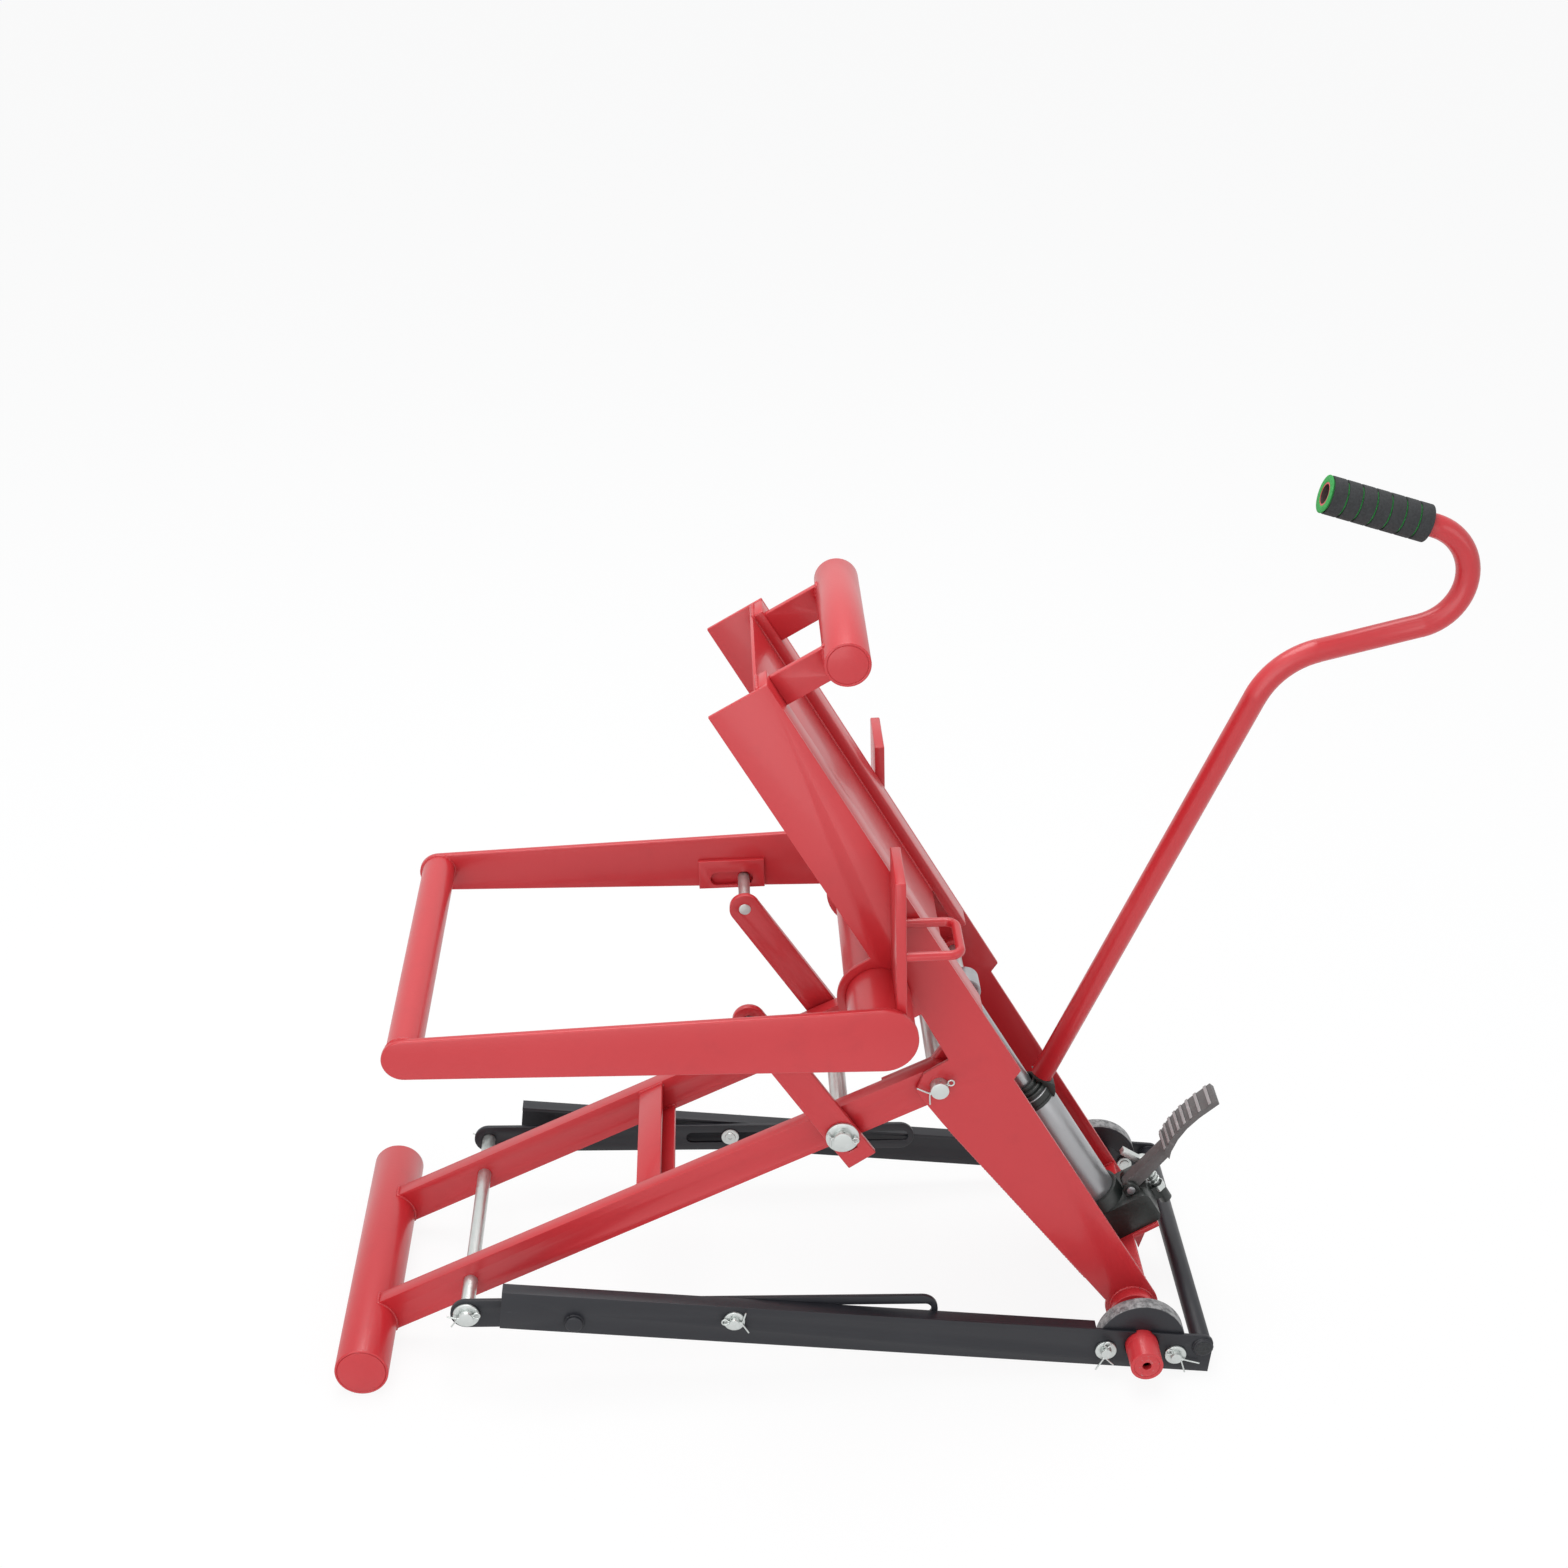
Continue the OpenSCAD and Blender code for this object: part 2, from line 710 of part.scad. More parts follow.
module link_guides() {
    color(red) both() cradle_frame() slab(cradle_in - guide_plate_t, cradle_in) difference() {
        translate([guide_from - guide_end - guide_slot_w / 2, -guide_foot])
            square([guide_to - guide_from + 2 * guide_end + guide_slot_w, guide_foot + guide_top]);
        translate([0, guide_z]) {
            translate([guide_from, 0]) circle(d = guide_slot_w);
            bar_2(guide_from, guide_to, guide_slot_w);
            translate([guide_to, 0]) circle(d = guide_slot_w);
        }
    }
}

// Level links
link_tail = 40;
link_slot_w = 12;
link_slot = 22;
link_in = mast_y + arm_gap;
guide_reach = 3.5;
module level_link() {
    color(red) link_frame() slab(link_in, link_y) difference() {
        union() {
            bar_2(-link_tail, link_len, link_w);
            translate([link_len, 0]) circle(d = link_w);
        }
        circle(d = pivot_rod_d + 2 * run_gap);
        bar_2(-link_slot, 0, link_slot_w);
        translate([link_len, 0]) circle(d = link_pin_d);
    }
}
module level_link_left() { level_link(); }
module level_link_right() { right_side() level_link(); }
module link_pins() {
    color(zinc) both() link_frame() at([link_len, 0]) slab(link_in, cradle_in - guide_plate_t
        + guide_reach) circle(d = link_pin_d);
}

// Ram, from its foot on the pump block to the thrust pin
ram_n = 12;
ram_base_t = 12;
gland_d = 46;
gland_len = 9;
gland_sides = 6;
gland_turn = 30;
head_s = 215;
head_len = 20;
thrust_2 = turned(tail_2, arm_slope - mast_lean) + pivot_2;
eye_mid = 15.4;
eye_half = 4.0;
eye_gap = 0.8;
eye_wall = 7;
eye_w = 30;
eye_slot_d = thrust_d + 2 * eye_gap;
eye_d = eye_slot_d + 2 * eye_wall;
module ram_solid() {
    mast_frame() translate([ram_n, 0, ram_foot]) cylinder(h = ram_len, d = ram_d);
}
module ram_cylinder() {
    color(steel) difference() {
        ram_solid();
        mast_frame() translate([ram_n, 0, ram_foot + ram_base_t])
            cylinder(h = ram_len, d = ram_bore_d);
    }
}
module gland_nut() {
    color(cast) mast_frame() translate([ram_n, 0, ram_foot + ram_len]) difference() {
        rotate([0, 0, gland_turn]) cylinder(h = gland_len, d = gland_d, $fn = gland_sides);
        translate([0, 0, -cut]) cylinder(h = gland_len + 2 * cut, d = rod_d + 2 * run_gap);
    }
}
module piston_rod() {
    color(steel) mast_frame() difference() {
        union() {
            translate([ram_n, 0, head_s]) cylinder(h = head_len, d = ram_bore_d - 2 * run_gap);
            translate([ram_n, 0, head_s]) cylinder(h = thrust_2[1] - head_s, d = rod_d);
            plate_across(eye_w) translate([eye_mid, thrust_2[1]]) {
                translate([-eye_half, 0]) circle(d = eye_d);
                translate([eye_half, 0]) circle(d = eye_d);
                bar_2(-eye_half, eye_half, eye_d);
            }
        }
        plate_across(eye_w + 2 * cut) translate([eye_mid, thrust_2[1]]) {
            translate([-eye_half, 0]) circle(d = eye_slot_d);
            translate([eye_half, 0]) circle(d = eye_slot_d);
            bar_2(-eye_half, eye_half, eye_slot_d);
        }
    }
}

// Pump block, with the collar that the ram stands in, the plunger boss and the pedal ears
block_rear = -19;
block_front = 70;
block_top = 66;
block_corner = 8;
collar_out_d = 62;
collar_top = 84;
plunger_n = 78;
plunger_y = 13;
boss_d = 15;
boss_bottom = 16;
boss_floor = 20;
boss_top = 42;
pedal_2 = [54, 72];
pedal_pin_d = 10;
ear_d = 18;
ear_t = 6;
ear_gap = 0.4;
shank_w = 16;
shank_y = -6;
pedal_room = 12.5;
module pump_block() {
    color(cast) mast_frame() difference() {
        union() {
            plate_across(block_w) {
                translate([block_rear, block_bottom])
                    square([block_front - block_corner - block_rear, block_top - block_bottom]);
                translate([block_front - 2 * block_corner, block_bottom + block_corner])
                    square([2 * block_corner, block_top - block_bottom - 2 * block_corner]);
                for (s = [block_bottom + block_corner, block_top - block_corner])
                    translate([block_front - block_corner, s]) circle(r = block_corner);
            }
            translate([ram_n, 0, block_bottom]) cylinder(h = collar_top - block_bottom, d = collar_out_d);
            translate([plunger_n, plunger_y, boss_bottom])
                cylinder(h = boss_top - boss_bottom, d = boss_d);
            translate([block_front - block_corner, plunger_y - boss_d / 2, block_bottom])
                cube([plunger_n - block_front + block_corner, boss_d, boss_top - block_bottom]);
            for (y = [shank_w / 2 + ear_gap - shank_y, -shank_w / 2 - ear_gap - ear_t - shank_y])
                slab(y, y + ear_t) {
                    at_2(pedal_2) circle(d = ear_d);
                    translate([pedal_2[0] - ear_d / 2, block_top - cut])
                        square([ear_d, pedal_2[1] - block_top + cut]);
                }
        }
        translate([ram_n, 0, ram_foot]) cylinder(h = ram_len, d = ram_d);
        translate([plunger_n, plunger_y, boss_floor])
            cylinder(h = boss_top, d = plunger_d + 2 * run_gap);
        at(pedal_2) plate_across(block_w) circle(d = pedal_pin_d);
        at(pedal_2) slab(-shank_y - shank_w / 2 - ear_gap, -shank_y + shank_w / 2 + ear_gap) {
            circle(d = ear_d);
            translate([0, -pedal_room]) square([block_front - pedal_2[0] + cut, pedal_room]);
        }
    }
}
pedal_pin_over = 2;
module pedal_pin() {
    half = shank_w / 2 + ear_gap + ear_t + pedal_pin_over;
    color(steel) mast_frame() at(pedal_2) slab(-shank_y - half, -shank_y + half)
        circle(d = pedal_pin_d);
}

// Foot pedal: a flat shank and a ribbed pad that curves up to its tip
root_d = 16;
pad_t = 9;
rib_t = 1.6;
rib_w = 4;
shank_low = [60, 66];
shank_high = [52, 80];
pad_top = [[112, 102], [128, 113.5], [146, 122], [166, 128], [195, 133.5]];
pad_low = [[197, 127.5], [168.5, 122.5], [150, 117], [134, 109], [119.5, 98], [113, 90]];
shank_end = [112, 86];
drive_pin_d = 8;
drive_gap = 0.9;
drive_2 = [plunger_n, 78];
drive_end = 19;
module foot_pedal() {
    color(cast) mast_frame() {
        difference() {
            slab(-shank_y - shank_w / 2, -shank_y + shank_w / 2) {
                at_2(pedal_2) circle(d = root_d);
                polygon([shank_low, shank_end, pad_low[5], pad_low[4], pad_top[0], shank_high]);
            }
            at(pedal_2) plate_across(block_w) circle(d = pedal_pin_d + 2 * run_gap);
        }
        slab(-shank_y - pad_w / 2, -shank_y + pad_w / 2) {
            polygon(concat(pad_top, pad_low));
            for (i = [0:len(pad_top) - 2]) for (share = [rib_first_share, rib_second_share])
                at_2(pad_top[i] + share * (pad_top[i + 1] - pad_top[i]))
                    rotate(atan2(pad_top[i + 1][1] - pad_top[i][1], pad_top[i + 1][0] - pad_top[i][0]))
                        translate([-rib_w / 2, -rib_t]) square([rib_w, 2 * rib_t]);
        }
        at(drive_2) slab(-drive_end, -shank_y) circle(d = drive_pin_d);
    }
}
rib_first_share = 0.25;
rib_second_share = 0.75;

// Pump plunger with its eye on the pedal's drive pin, and the spring under its collar
plunger_foot = 36;
eye_t = 9;
plunger_eye_d = 16;
spring_low = boss_top;
spring_high = 66;
spring_r = 6.4;
collar_t = 3;
hook_len = 30;
hook_w = 7;
hook_angle = 117;
module pump_plunger() {
    color(zinc) mast_frame() translate([0, plunger_y, 0]) difference() {
        union() {
            translate([plunger_n, 0, plunger_foot]) cylinder(h = drive_2[1] - plunger_foot, d = plunger_d);
            translate([plunger_n, 0, spring_high]) cylinder(h = collar_t, d = 2 * spring_r + spring_wire);
            plate_across(eye_t) {
                at_2(drive_2) circle(d = plunger_eye_d);
                at_2(drive_2) rotate(hook_angle) bar_2(0, hook_len, hook_w);
            }
        }
        plate_across(block_w) at_2(drive_2) circle(d = drive_pin_d + 2 * drive_gap);
    }
}
spring_sides = 6;
spring_steps = 8;
spring_count = spring_turns * spring_steps;
spring_turn = 360;
spring_run = spring_high - spring_low - spring_wire;
function spring_point(i) = [spring_r * cos(i * spring_turn / spring_steps),
    spring_r * sin(i * spring_turn / spring_steps),
    spring_low + spring_wire / 2 + spring_run * i / spring_count];
function spring_ring(i) = let (a = i * spring_turn / spring_steps)
    [for (j = [0:spring_sides - 1]) let (b = j * spring_turn / spring_sides,
        r = spring_wire / 2 * cos(b), z = spring_wire / 2 * sin(b))
        spring_point(i) + [r * cos(a), r * sin(a), z]];
spring_points = [for (i = [0:spring_count]) each spring_ring(i)];
spring_faces = concat(
    [[for (j = [0:spring_sides - 1]) j]],
    [for (i = [0:spring_count - 1]) for (j = [0:spring_sides - 1])
        let (k = (j + 1) % spring_sides, low = i * spring_sides, high = low + spring_sides)
        [low + j, high + j, high + k, low + k]],
    [[for (j = [spring_sides - 1:-1:0]) spring_count * spring_sides + j]]);
spring_gap = min([for (i = [0:spring_count - spring_steps])
    for (k = [spring_steps - 1:spring_steps + 1]) if (i + k <= spring_count)
        norm(spring_point(i + k) - spring_point(i)) - spring_wire]);
echo(return_spring_least_gap = spring_gap);
module return_spring() {
    color(steel) mast_frame() translate([plunger_n, plunger_y, 0])
        polyhedron(points = spring_points, faces = spring_faces);
}

// Release valve and handle
valve_w = 24;
valve_gap = 0.4;
spindle_d = 10;
spindle_len = 3;
spindle_plug = 20;
valve_room = 0.5;
valve_shape = [[36.5, 229], [33.2, 246.5], [33.2, 256], [29.6, 256], [29.6, 265.6],
    [45.1, 243.9], [41, 234]];
handle_in_d = handle_d - 2 * handle_wall;
module valve_body() {
    color(cast) difference() {
        mast_frame() plate_across(valve_w) polygon(valve_shape);
        ram_solid();
        place(shaft_start, shaft_angle) rotate([0, 90, 0]) translate([0, 0, -spindle_len - valve_room])
            cylinder(h = 2 * spindle_len, d = spindle_d + 2 * run_gap);
        place(shaft_start, shaft_angle) rotate([0, 90, 0]) translate([0, 0, -valve_gap])
            cylinder(h = 2 * spindle_len, d = handle_d + 2 * cut);
    }
}
module valve_spindle() {
    color(cast) place(shaft_start, shaft_angle) rotate([0, 90, 0]) {
        translate([0, 0, -spindle_len]) cylinder(h = spindle_len + spindle_plug, d = spindle_d);
        cylinder(h = spindle_plug, d = handle_in_d);
    }
}
// The tube swells a little where it is bent, and each straight run ends inside its bends
bend_swell = 0.3;
bend_lap = 1;
module tube_run(start, angle, from, to, d) {
    place(start, angle) rotate([0, 90, 0]) translate([0, 0, from]) cylinder(h = to - from, d = d);
}
module tube_bend(centre, from, sweep, radius, d) {
    place(centre, 0) rotate([90, 0, 0]) rotate([0, 0, from]) rotate_extrude(angle = sweep)
        translate([radius, 0]) circle(d = d + bend_swell);
}
module handle_path(d, open_end) {
    tube_run(shaft_start, shaft_angle, -open_end, shaft_len + bend_lap, d);
    tube_bend(knee_centre, crank_angle + 90, shaft_angle - crank_angle, knee_r, d);
    tube_run(knee_end, crank_angle, -bend_lap, crank_len + bend_lap, d);
    tube_bend(bow_centre, crank_angle - 90, grip_angle - crank_angle, bow_r, d);
    tube_run(bow_end, grip_angle, -bend_lap, grip_run + open_end, d);
}
module handle_tube() {
    color(red) difference() {
        handle_path(handle_d, 0);
        handle_path(handle_in_d, cut);
    }
}
core_d = grip_d - 5;
sleeve_count = 7;
groove = 1.8;
end_ring = 1.5;
sleeve_len = (grip_len - end_ring - sleeve_count * groove) / sleeve_count;
module grip_core() {
    color(green) place(bow_end, grip_angle) rotate([0, 90, 0]) {
        translate([0, 0, grip_at]) linear_extrude(grip_len) ring(core_d, handle_d);
        translate([0, 0, grip_at + grip_len - end_ring]) linear_extrude(end_ring)
            ring(grip_d, handle_d);
    }
}
module grip_sleeves() {
    color(foam) place(bow_end, grip_angle) rotate([0, 90, 0])
        for (i = [0:sleeve_count - 1])
            translate([0, 0, grip_at + i * (sleeve_len + groove)])
                linear_extrude(sleeve_len) ring(grip_d, core_d);
}

rail_left();
rail_right();
rear_cross_bar();
axle_guard_left();
axle_guard_right();
guard_pins();
rail_pins();
rail_studs();
base_washers();
base_cotters();
mast_plate_left();
mast_plate_right();
mast_back_plate();
face_rails();
mast_web();
top_cross_tube();
top_tube_caps();
top_lugs();
axle_tube();
axle_plugs();
axle_collars();
pump_bracket();
pivot_rod();
pivot_cotters();
foot_tube();
foot_caps();
arm_left();
arm_right();
cross_channel();
front_rod();
link_rod();
arm_washers();
arm_cotters();
tail_lugs();
thrust_pin();
tie_bar_left();
tie_bar_right();
cradle_bar_left();
cradle_bar_right();
cradle_front_tube();
cradle_rear_tube();
wheel_stops();
strap_loop();
link_guides();
level_link_left();
level_link_right();
link_pins();
ram_cylinder();
gland_nut();
pump_block();
pedal_pin();
valve_body();
piston_rod();
foot_pedal();
pump_plunger();
return_spring();
handle_tube();
valve_spindle();
grip_core();
grip_sleeves();
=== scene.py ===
# %% [markdown]
# A lift jack that is pumped by foot and stands on the floor.
# The lift is a welded and pinned steel frame: two slotted base rails, a leaning
# mast, two arms that end in a foot tube, a level cradle for the load, and a
# small hydraulic ram with a pedal and a bent release handle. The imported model
# already holds every piece in its true place, so this lesson works on looks:
# soft edges, weld beads, foam, and finishes that read as paint, zinc and iron.

# %% Load the fixed frame
import json
import math
import random

import bmesh
import bpy
from mathutils import Matrix, Vector
from mathutils.bvhtree import BVHTree


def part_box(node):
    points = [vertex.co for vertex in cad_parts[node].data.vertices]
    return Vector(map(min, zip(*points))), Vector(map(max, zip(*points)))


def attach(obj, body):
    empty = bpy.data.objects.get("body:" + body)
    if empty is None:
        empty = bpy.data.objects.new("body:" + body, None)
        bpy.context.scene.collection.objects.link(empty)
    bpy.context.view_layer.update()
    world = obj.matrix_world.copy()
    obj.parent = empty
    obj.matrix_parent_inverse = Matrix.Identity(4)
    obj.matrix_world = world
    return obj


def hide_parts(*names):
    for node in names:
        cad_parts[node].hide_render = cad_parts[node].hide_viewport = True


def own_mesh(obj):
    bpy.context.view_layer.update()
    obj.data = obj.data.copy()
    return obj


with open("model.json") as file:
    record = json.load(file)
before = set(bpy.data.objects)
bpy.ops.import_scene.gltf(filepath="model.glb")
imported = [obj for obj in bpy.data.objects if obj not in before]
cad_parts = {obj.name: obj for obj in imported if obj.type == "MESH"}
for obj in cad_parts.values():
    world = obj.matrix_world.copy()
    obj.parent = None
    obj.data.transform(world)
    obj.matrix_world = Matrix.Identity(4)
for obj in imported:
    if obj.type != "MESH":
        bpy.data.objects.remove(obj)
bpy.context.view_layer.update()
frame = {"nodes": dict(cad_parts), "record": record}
nodes = frame["nodes"]

# %% [markdown]
# The picture is taken from above and to the left of the foot tube, with a lens
# of middling length. The straight edges of the lift gave the tilt and the turn
# of the camera, and its size gave the distance. The view is kept free of depth
# of field and of shift, so that the lift can be looked at from any other side.

# %% The camera
MM = 0.001
FOCAL_PX = 2500
PICTURE_PX = 1568
SENSOR_MM = 36
camera_at = Vector((-0.1899, -2.4373, 1.8436))
tilt_down = math.radians(25.975)
turn_right = math.radians(1.833)
bpy.ops.object.camera_add(location=camera_at,
                          rotation=(math.pi / 2 - tilt_down, 0, -turn_right))
camera = bpy.context.object
camera.data.sensor_width = SENSOR_MM
camera.data.lens = FOCAL_PX / PICTURE_PX * SENSOR_MM
bpy.context.scene.camera = camera
bpy.context.scene.view_settings.view_transform = "Standard"
print("lens:", round(camera.data.lens, 1), "mm")

# %% [markdown]
# A finish is a small tree of nodes, and most of it is arithmetic. Wiring that
# by hand is slow to read, so one class stands for a socket and lets Python's
# own signs add the Math nodes. Another keeps the material and adds any other
# node by its type, its settings and the values of its inputs.

# %% A socket that can be added and multiplied
class Wire:
    """One output socket of a finish."""

    def __init__(self, bench, socket):
        self.bench, self.socket = bench, socket

    def maths(self, operation, first, second):
        return self.bench.node("ShaderNodeMath", {"operation": operation}, {0: first, 1: second})

    def __add__(self, other):
        return self.maths("ADD", self, other)

    def __radd__(self, other):
        return self.maths("ADD", other, self)

    def __sub__(self, other):
        return self.maths("SUBTRACT", self, other)

    def __rsub__(self, other):
        return self.maths("SUBTRACT", other, self)

    def __mul__(self, other):
        return self.maths("MULTIPLY", self, other)

    def __rmul__(self, other):
        return self.maths("MULTIPLY", other, self)


# %% A bench on which one finish is mixed
class Bench:
    """A material, or the world, and the nodes wired into it."""

    def __init__(self, name, owner=None):
        self.material = owner or bpy.data.materials.new(name)
        self.material.use_nodes = True
        self.tree = self.material.node_tree
        self.tree.nodes.clear()
        self.place = None if owner else self.node("ShaderNodeTexCoord", out="Object")

    def node(self, kind, settings=None, values=None, out=0):
        made = self.tree.nodes.new(kind)
        for key, value in (settings or {}).items():
            setattr(made, key, value)
        for key, value in (values or {}).items():
            if isinstance(value, Wire):
                self.tree.links.new(value.socket, made.inputs[key])
            else:
                made.inputs[key].default_value = value
        return Wire(self, made.outputs[out])

    def stretched(self, angle, scale):
        """Object coordinates turned about Y and drawn out along one way."""
        return self.node("ShaderNodeMapping", {"vector_type": "TEXTURE"},
                         {"Vector": self.place, "Rotation": (0, angle, 0), "Scale": scale})

    def noise(self, scale, detail=3, rough=0.5, place=None):
        return self.node("ShaderNodeTexNoise", None,
                         {"Vector": place or self.place, "Scale": scale,
                          "Detail": detail, "Roughness": rough})

    def cells(self, scale):
        """Distance from the middle of the nearest cell."""
        return self.node("ShaderNodeTexVoronoi", None,
                         {"Vector": self.place, "Scale": scale}, "Distance")

    def between(self, value, low, high, to_low=0.0, to_high=1.0):
        """value drawn from low..high on to to_low..to_high, and held there."""
        return self.node("ShaderNodeMapRange", {"clamp": True},
                         {0: value, 1: low, 2: high, 3: to_low, 4: to_high})

    def blend(self, share, first, second):
        """A mix of two colours."""
        values = {0: share, 6: first if isinstance(first, Wire) else (*first, 1),
                  7: second if isinstance(second, Wire) else (*second, 1)}
        return self.node("ShaderNodeMix", {"data_type": "RGBA"}, values, 2)

    def far_from(self, at):
        """Distance, in metres, from the line that runs across the lift through at."""
        moved = self.node("ShaderNodeVectorMath", {"operation": "SUBTRACT"}, {0: self.place, 1: at})
        flat = self.node("ShaderNodeVectorMath", {"operation": "MULTIPLY"}, {0: moved, 1: (1, 0, 1)})
        return self.node("ShaderNodeVectorMath", {"operation": "LENGTH"}, {0: flat}, "Value")

    def bump(self, height, depth, below=None):
        values = {"Height": height, "Strength": 1.0, "Distance": depth}
        if below is not None:
            values["Normal"] = below
        return self.node("ShaderNodeBump", None, values)

    def hand_over(self, shader, kind="ShaderNodeOutputMaterial"):
        """Wires the last shader to the output."""
        output = self.tree.nodes.new(kind)
        self.tree.links.new(shader.socket, output.inputs["Surface"])
        return self.material

    def finish(self, **values):
        """One surface shader. Names are the shader's own, with _ for a space."""
        return self.hand_over(self.node("ShaderNodeBsdfPrincipled", None,
                                        {k.replace("_", " "): v for k, v in values.items()}))


# %% [markdown]
# Red enamel covers the mast, the arms and the cradle. It is sprayed on thick
# and baked, so it shines but has a faint orange peel, and its colour drifts a
# little where the coat is thin. A clear coat on top gives the pale streaks
# where light grazes the flat bars. A few hairline scratches keep it honest.

# %% Red enamel
def mix_red_enamel(name, chips=0.0):
    bench = Bench(name)
    drift = bench.noise(5, 2)
    peel = bench.noise(420, 2, 0.4)
    rub = bench.noise(60, 6, 0.7, bench.stretched(0.3, (9, 1, 1)))
    scratch = bench.between(rub, 0.71, 0.75)
    grime = bench.between(bench.noise(26, 5, 0.65), 0.55, 0.8)
    base = bench.blend(drift, (0.465, 0.016, 0.022), (0.515, 0.025, 0.032))
    base = bench.blend(grime * 0.25, base, (0.34, 0.012, 0.020))
    base = bench.blend(scratch * 0.3, base, (0.62, 0.12, 0.12))
    chipped = bench.between(bench.noise(190, 5, 0.7), 0.60, 0.66) * chips
    base = bench.blend(chipped, base, (0.36, 0.34, 0.34))
    return bench.finish(
        Base_Color=base,
        Roughness=bench.between(drift, 0.3, 0.7, 0.34, 0.42) + scratch * 0.15,
        Normal=bench.bump(peel, 0.00006, bench.bump(1 - chipped, 0.00015)),
        Coat_Weight=0.2, Coat_Roughness=0.12)


red_enamel = mix_red_enamel("red_enamel")
chipped_enamel = mix_red_enamel("chipped_enamel", 0.8)
print("finish:", red_enamel.name, "and", chipped_enamel.name)

# %% [markdown]
# The rails, guards and slotted bars are black. Powder coat like this is never
# quite black: it is a dark blue grey with a fine grain that spreads the light.
# It rubs through first where the bars slide, so pale hairlines run lengthwise.

# %% Black powder coat
AXLE_AT = Vector((0.285792, 0, 0.039))


def mix_black_coat(name, sheen_from=None):
    bench = Bench(name)
    grain = bench.noise(900, 2, 0.6)
    cloud = bench.noise(14, 4, 0.6)
    rub = bench.noise(55, 6, 0.7, bench.stretched(0.1, (14, 1, 1)))
    worn = bench.between(rub, 0.70, 0.76)
    base = bench.blend(cloud, (0.010, 0.0105, 0.014), (0.019, 0.020, 0.025))
    base = bench.blend(worn * 0.6, base, (0.17, 0.17, 0.18))
    # Painted highlight: beyond this radius from the axle the guard's rim is painted pale grey, in
    # uneven patches, for the sheen on it.
    if sheen_from:
        rim_sheen = bench.between(bench.far_from(AXLE_AT), sheen_from, sheen_from + 0.8 * MM)
        sheen_patches = bench.between(bench.noise(130, 5, 0.75), 0.40, 0.60, 0.25, 1.0)
        base = bench.blend(rim_sheen * sheen_patches, base, (0.30, 0.30, 0.30))
    return bench.finish(
        Base_Color=base,
        Roughness=bench.between(cloud, 0.3, 0.7, 0.36, 0.48) - worn * 0.08,
        Normal=bench.bump(grain, 0.00008), Specular_IOR_Level=0.4)


black_coat = mix_black_coat("black_coat")
guard_coat_rim_sheen = mix_black_coat("guard_coat_rim_sheen", sheen_from=49 * MM)
print("finish:", black_coat.name, "and", guard_coat_rim_sheen.name)

# %% [markdown]
# Pins, washers and split pins are plated with zinc. The plating is thin and
# bright, with a faint mottle of crystals and a slight green of its sealing
# bath. The mottle changes how sharp the shine is rather than its colour.

# %% Zinc plate
def mix_zinc_plate():
    bench = Bench("zinc_plate")
    crystal = bench.cells(260)
    haze = bench.noise(40, 4, 0.6)
    base = bench.blend(haze, (0.50, 0.54, 0.52), (0.66, 0.68, 0.67))
    dulled = bench.between(bench.noise(150, 5, 0.7), 0.62, 0.8)
    base = bench.blend(dulled * 0.5, base, (0.30, 0.30, 0.28))
    return bench.finish(
        Base_Color=base, Metallic=0.85,
        Roughness=bench.between(crystal, 0.0, 0.8, 0.26, 0.44),
        Normal=bench.bump(crystal, 0.00003))


zinc_plate = mix_zinc_plate()
print("finish:", zinc_plate.name)

# %% [markdown]
# The ram's cylinder is drawn steel under a thin silver lacquer, and its rod is
# ground. Both carry fine streaks along their length, which is also the way the
# mast leans, so the noise is turned to the mast and drawn out along it.

# %% Drawn steel
MAST_LEAN = math.radians(30.8)


def mix_drawn_steel():
    bench = Bench("drawn_steel")
    streak = bench.noise(70, 3, 0.5, bench.stretched(-MAST_LEAN, (1, 1, 24)))
    cloud = bench.noise(18, 4, 0.6)
    stain = bench.between(bench.noise(45, 5, 0.7), 0.6, 0.78)
    base = bench.blend(cloud, (0.33, 0.335, 0.345), (0.43, 0.435, 0.445))
    base = bench.blend(stain * 0.35, base, (0.20, 0.195, 0.19))
    return bench.finish(
        Base_Color=base, Metallic=0.75,
        Roughness=bench.between(streak, 0.3, 0.7, 0.28, 0.42),
        Normal=bench.bump(streak, 0.00003))


drawn_steel = mix_drawn_steel()
print("finish:", drawn_steel.name)

# %% [markdown]
# The pump block, the gland and the pedal are castings. Their skin keeps the
# grain of the sand, coarse on the pedal and half filled by a dark grey-green
# paint on the pump. The pedal's ribs are rubbed lighter by boots, and the
# inside of the handle's tube gets a casting's roughness in a very dark red brown, as painted shade.

# %% Cast iron, painted and bare
def mix_casting(name, dark, pale, shine, grain_depth):
    bench = Bench(name)
    sand = bench.noise(230, 5, 0.65)
    lump = bench.noise(38, 3, 0.5)
    wear = bench.between(bench.noise(95, 5, 0.7), 0.58, 0.74)
    base = bench.blend(lump, dark, pale)
    base = bench.blend(wear * 0.35, base, tuple(min(1, 2.2 * c) for c in pale))
    coarse = bench.bump(lump, grain_depth * 2)
    return bench.finish(
        Base_Color=base,
        Roughness=bench.between(sand, 0.3, 0.7, shine, shine + 0.16),
        Normal=bench.bump(sand, grain_depth, coarse))


pump_paint = mix_casting("pump_paint", (0.010, 0.013, 0.012), (0.022, 0.027, 0.025), 0.30, 0.00016)
pedal_iron = mix_casting("pedal_iron", (0.075, 0.070, 0.070), (0.140, 0.130, 0.128), 0.46, 0.00028)
rubbed_iron = mix_casting("rubbed_iron", (0.26, 0.25, 0.25), (0.38, 0.36, 0.36), 0.42, 0.00028)
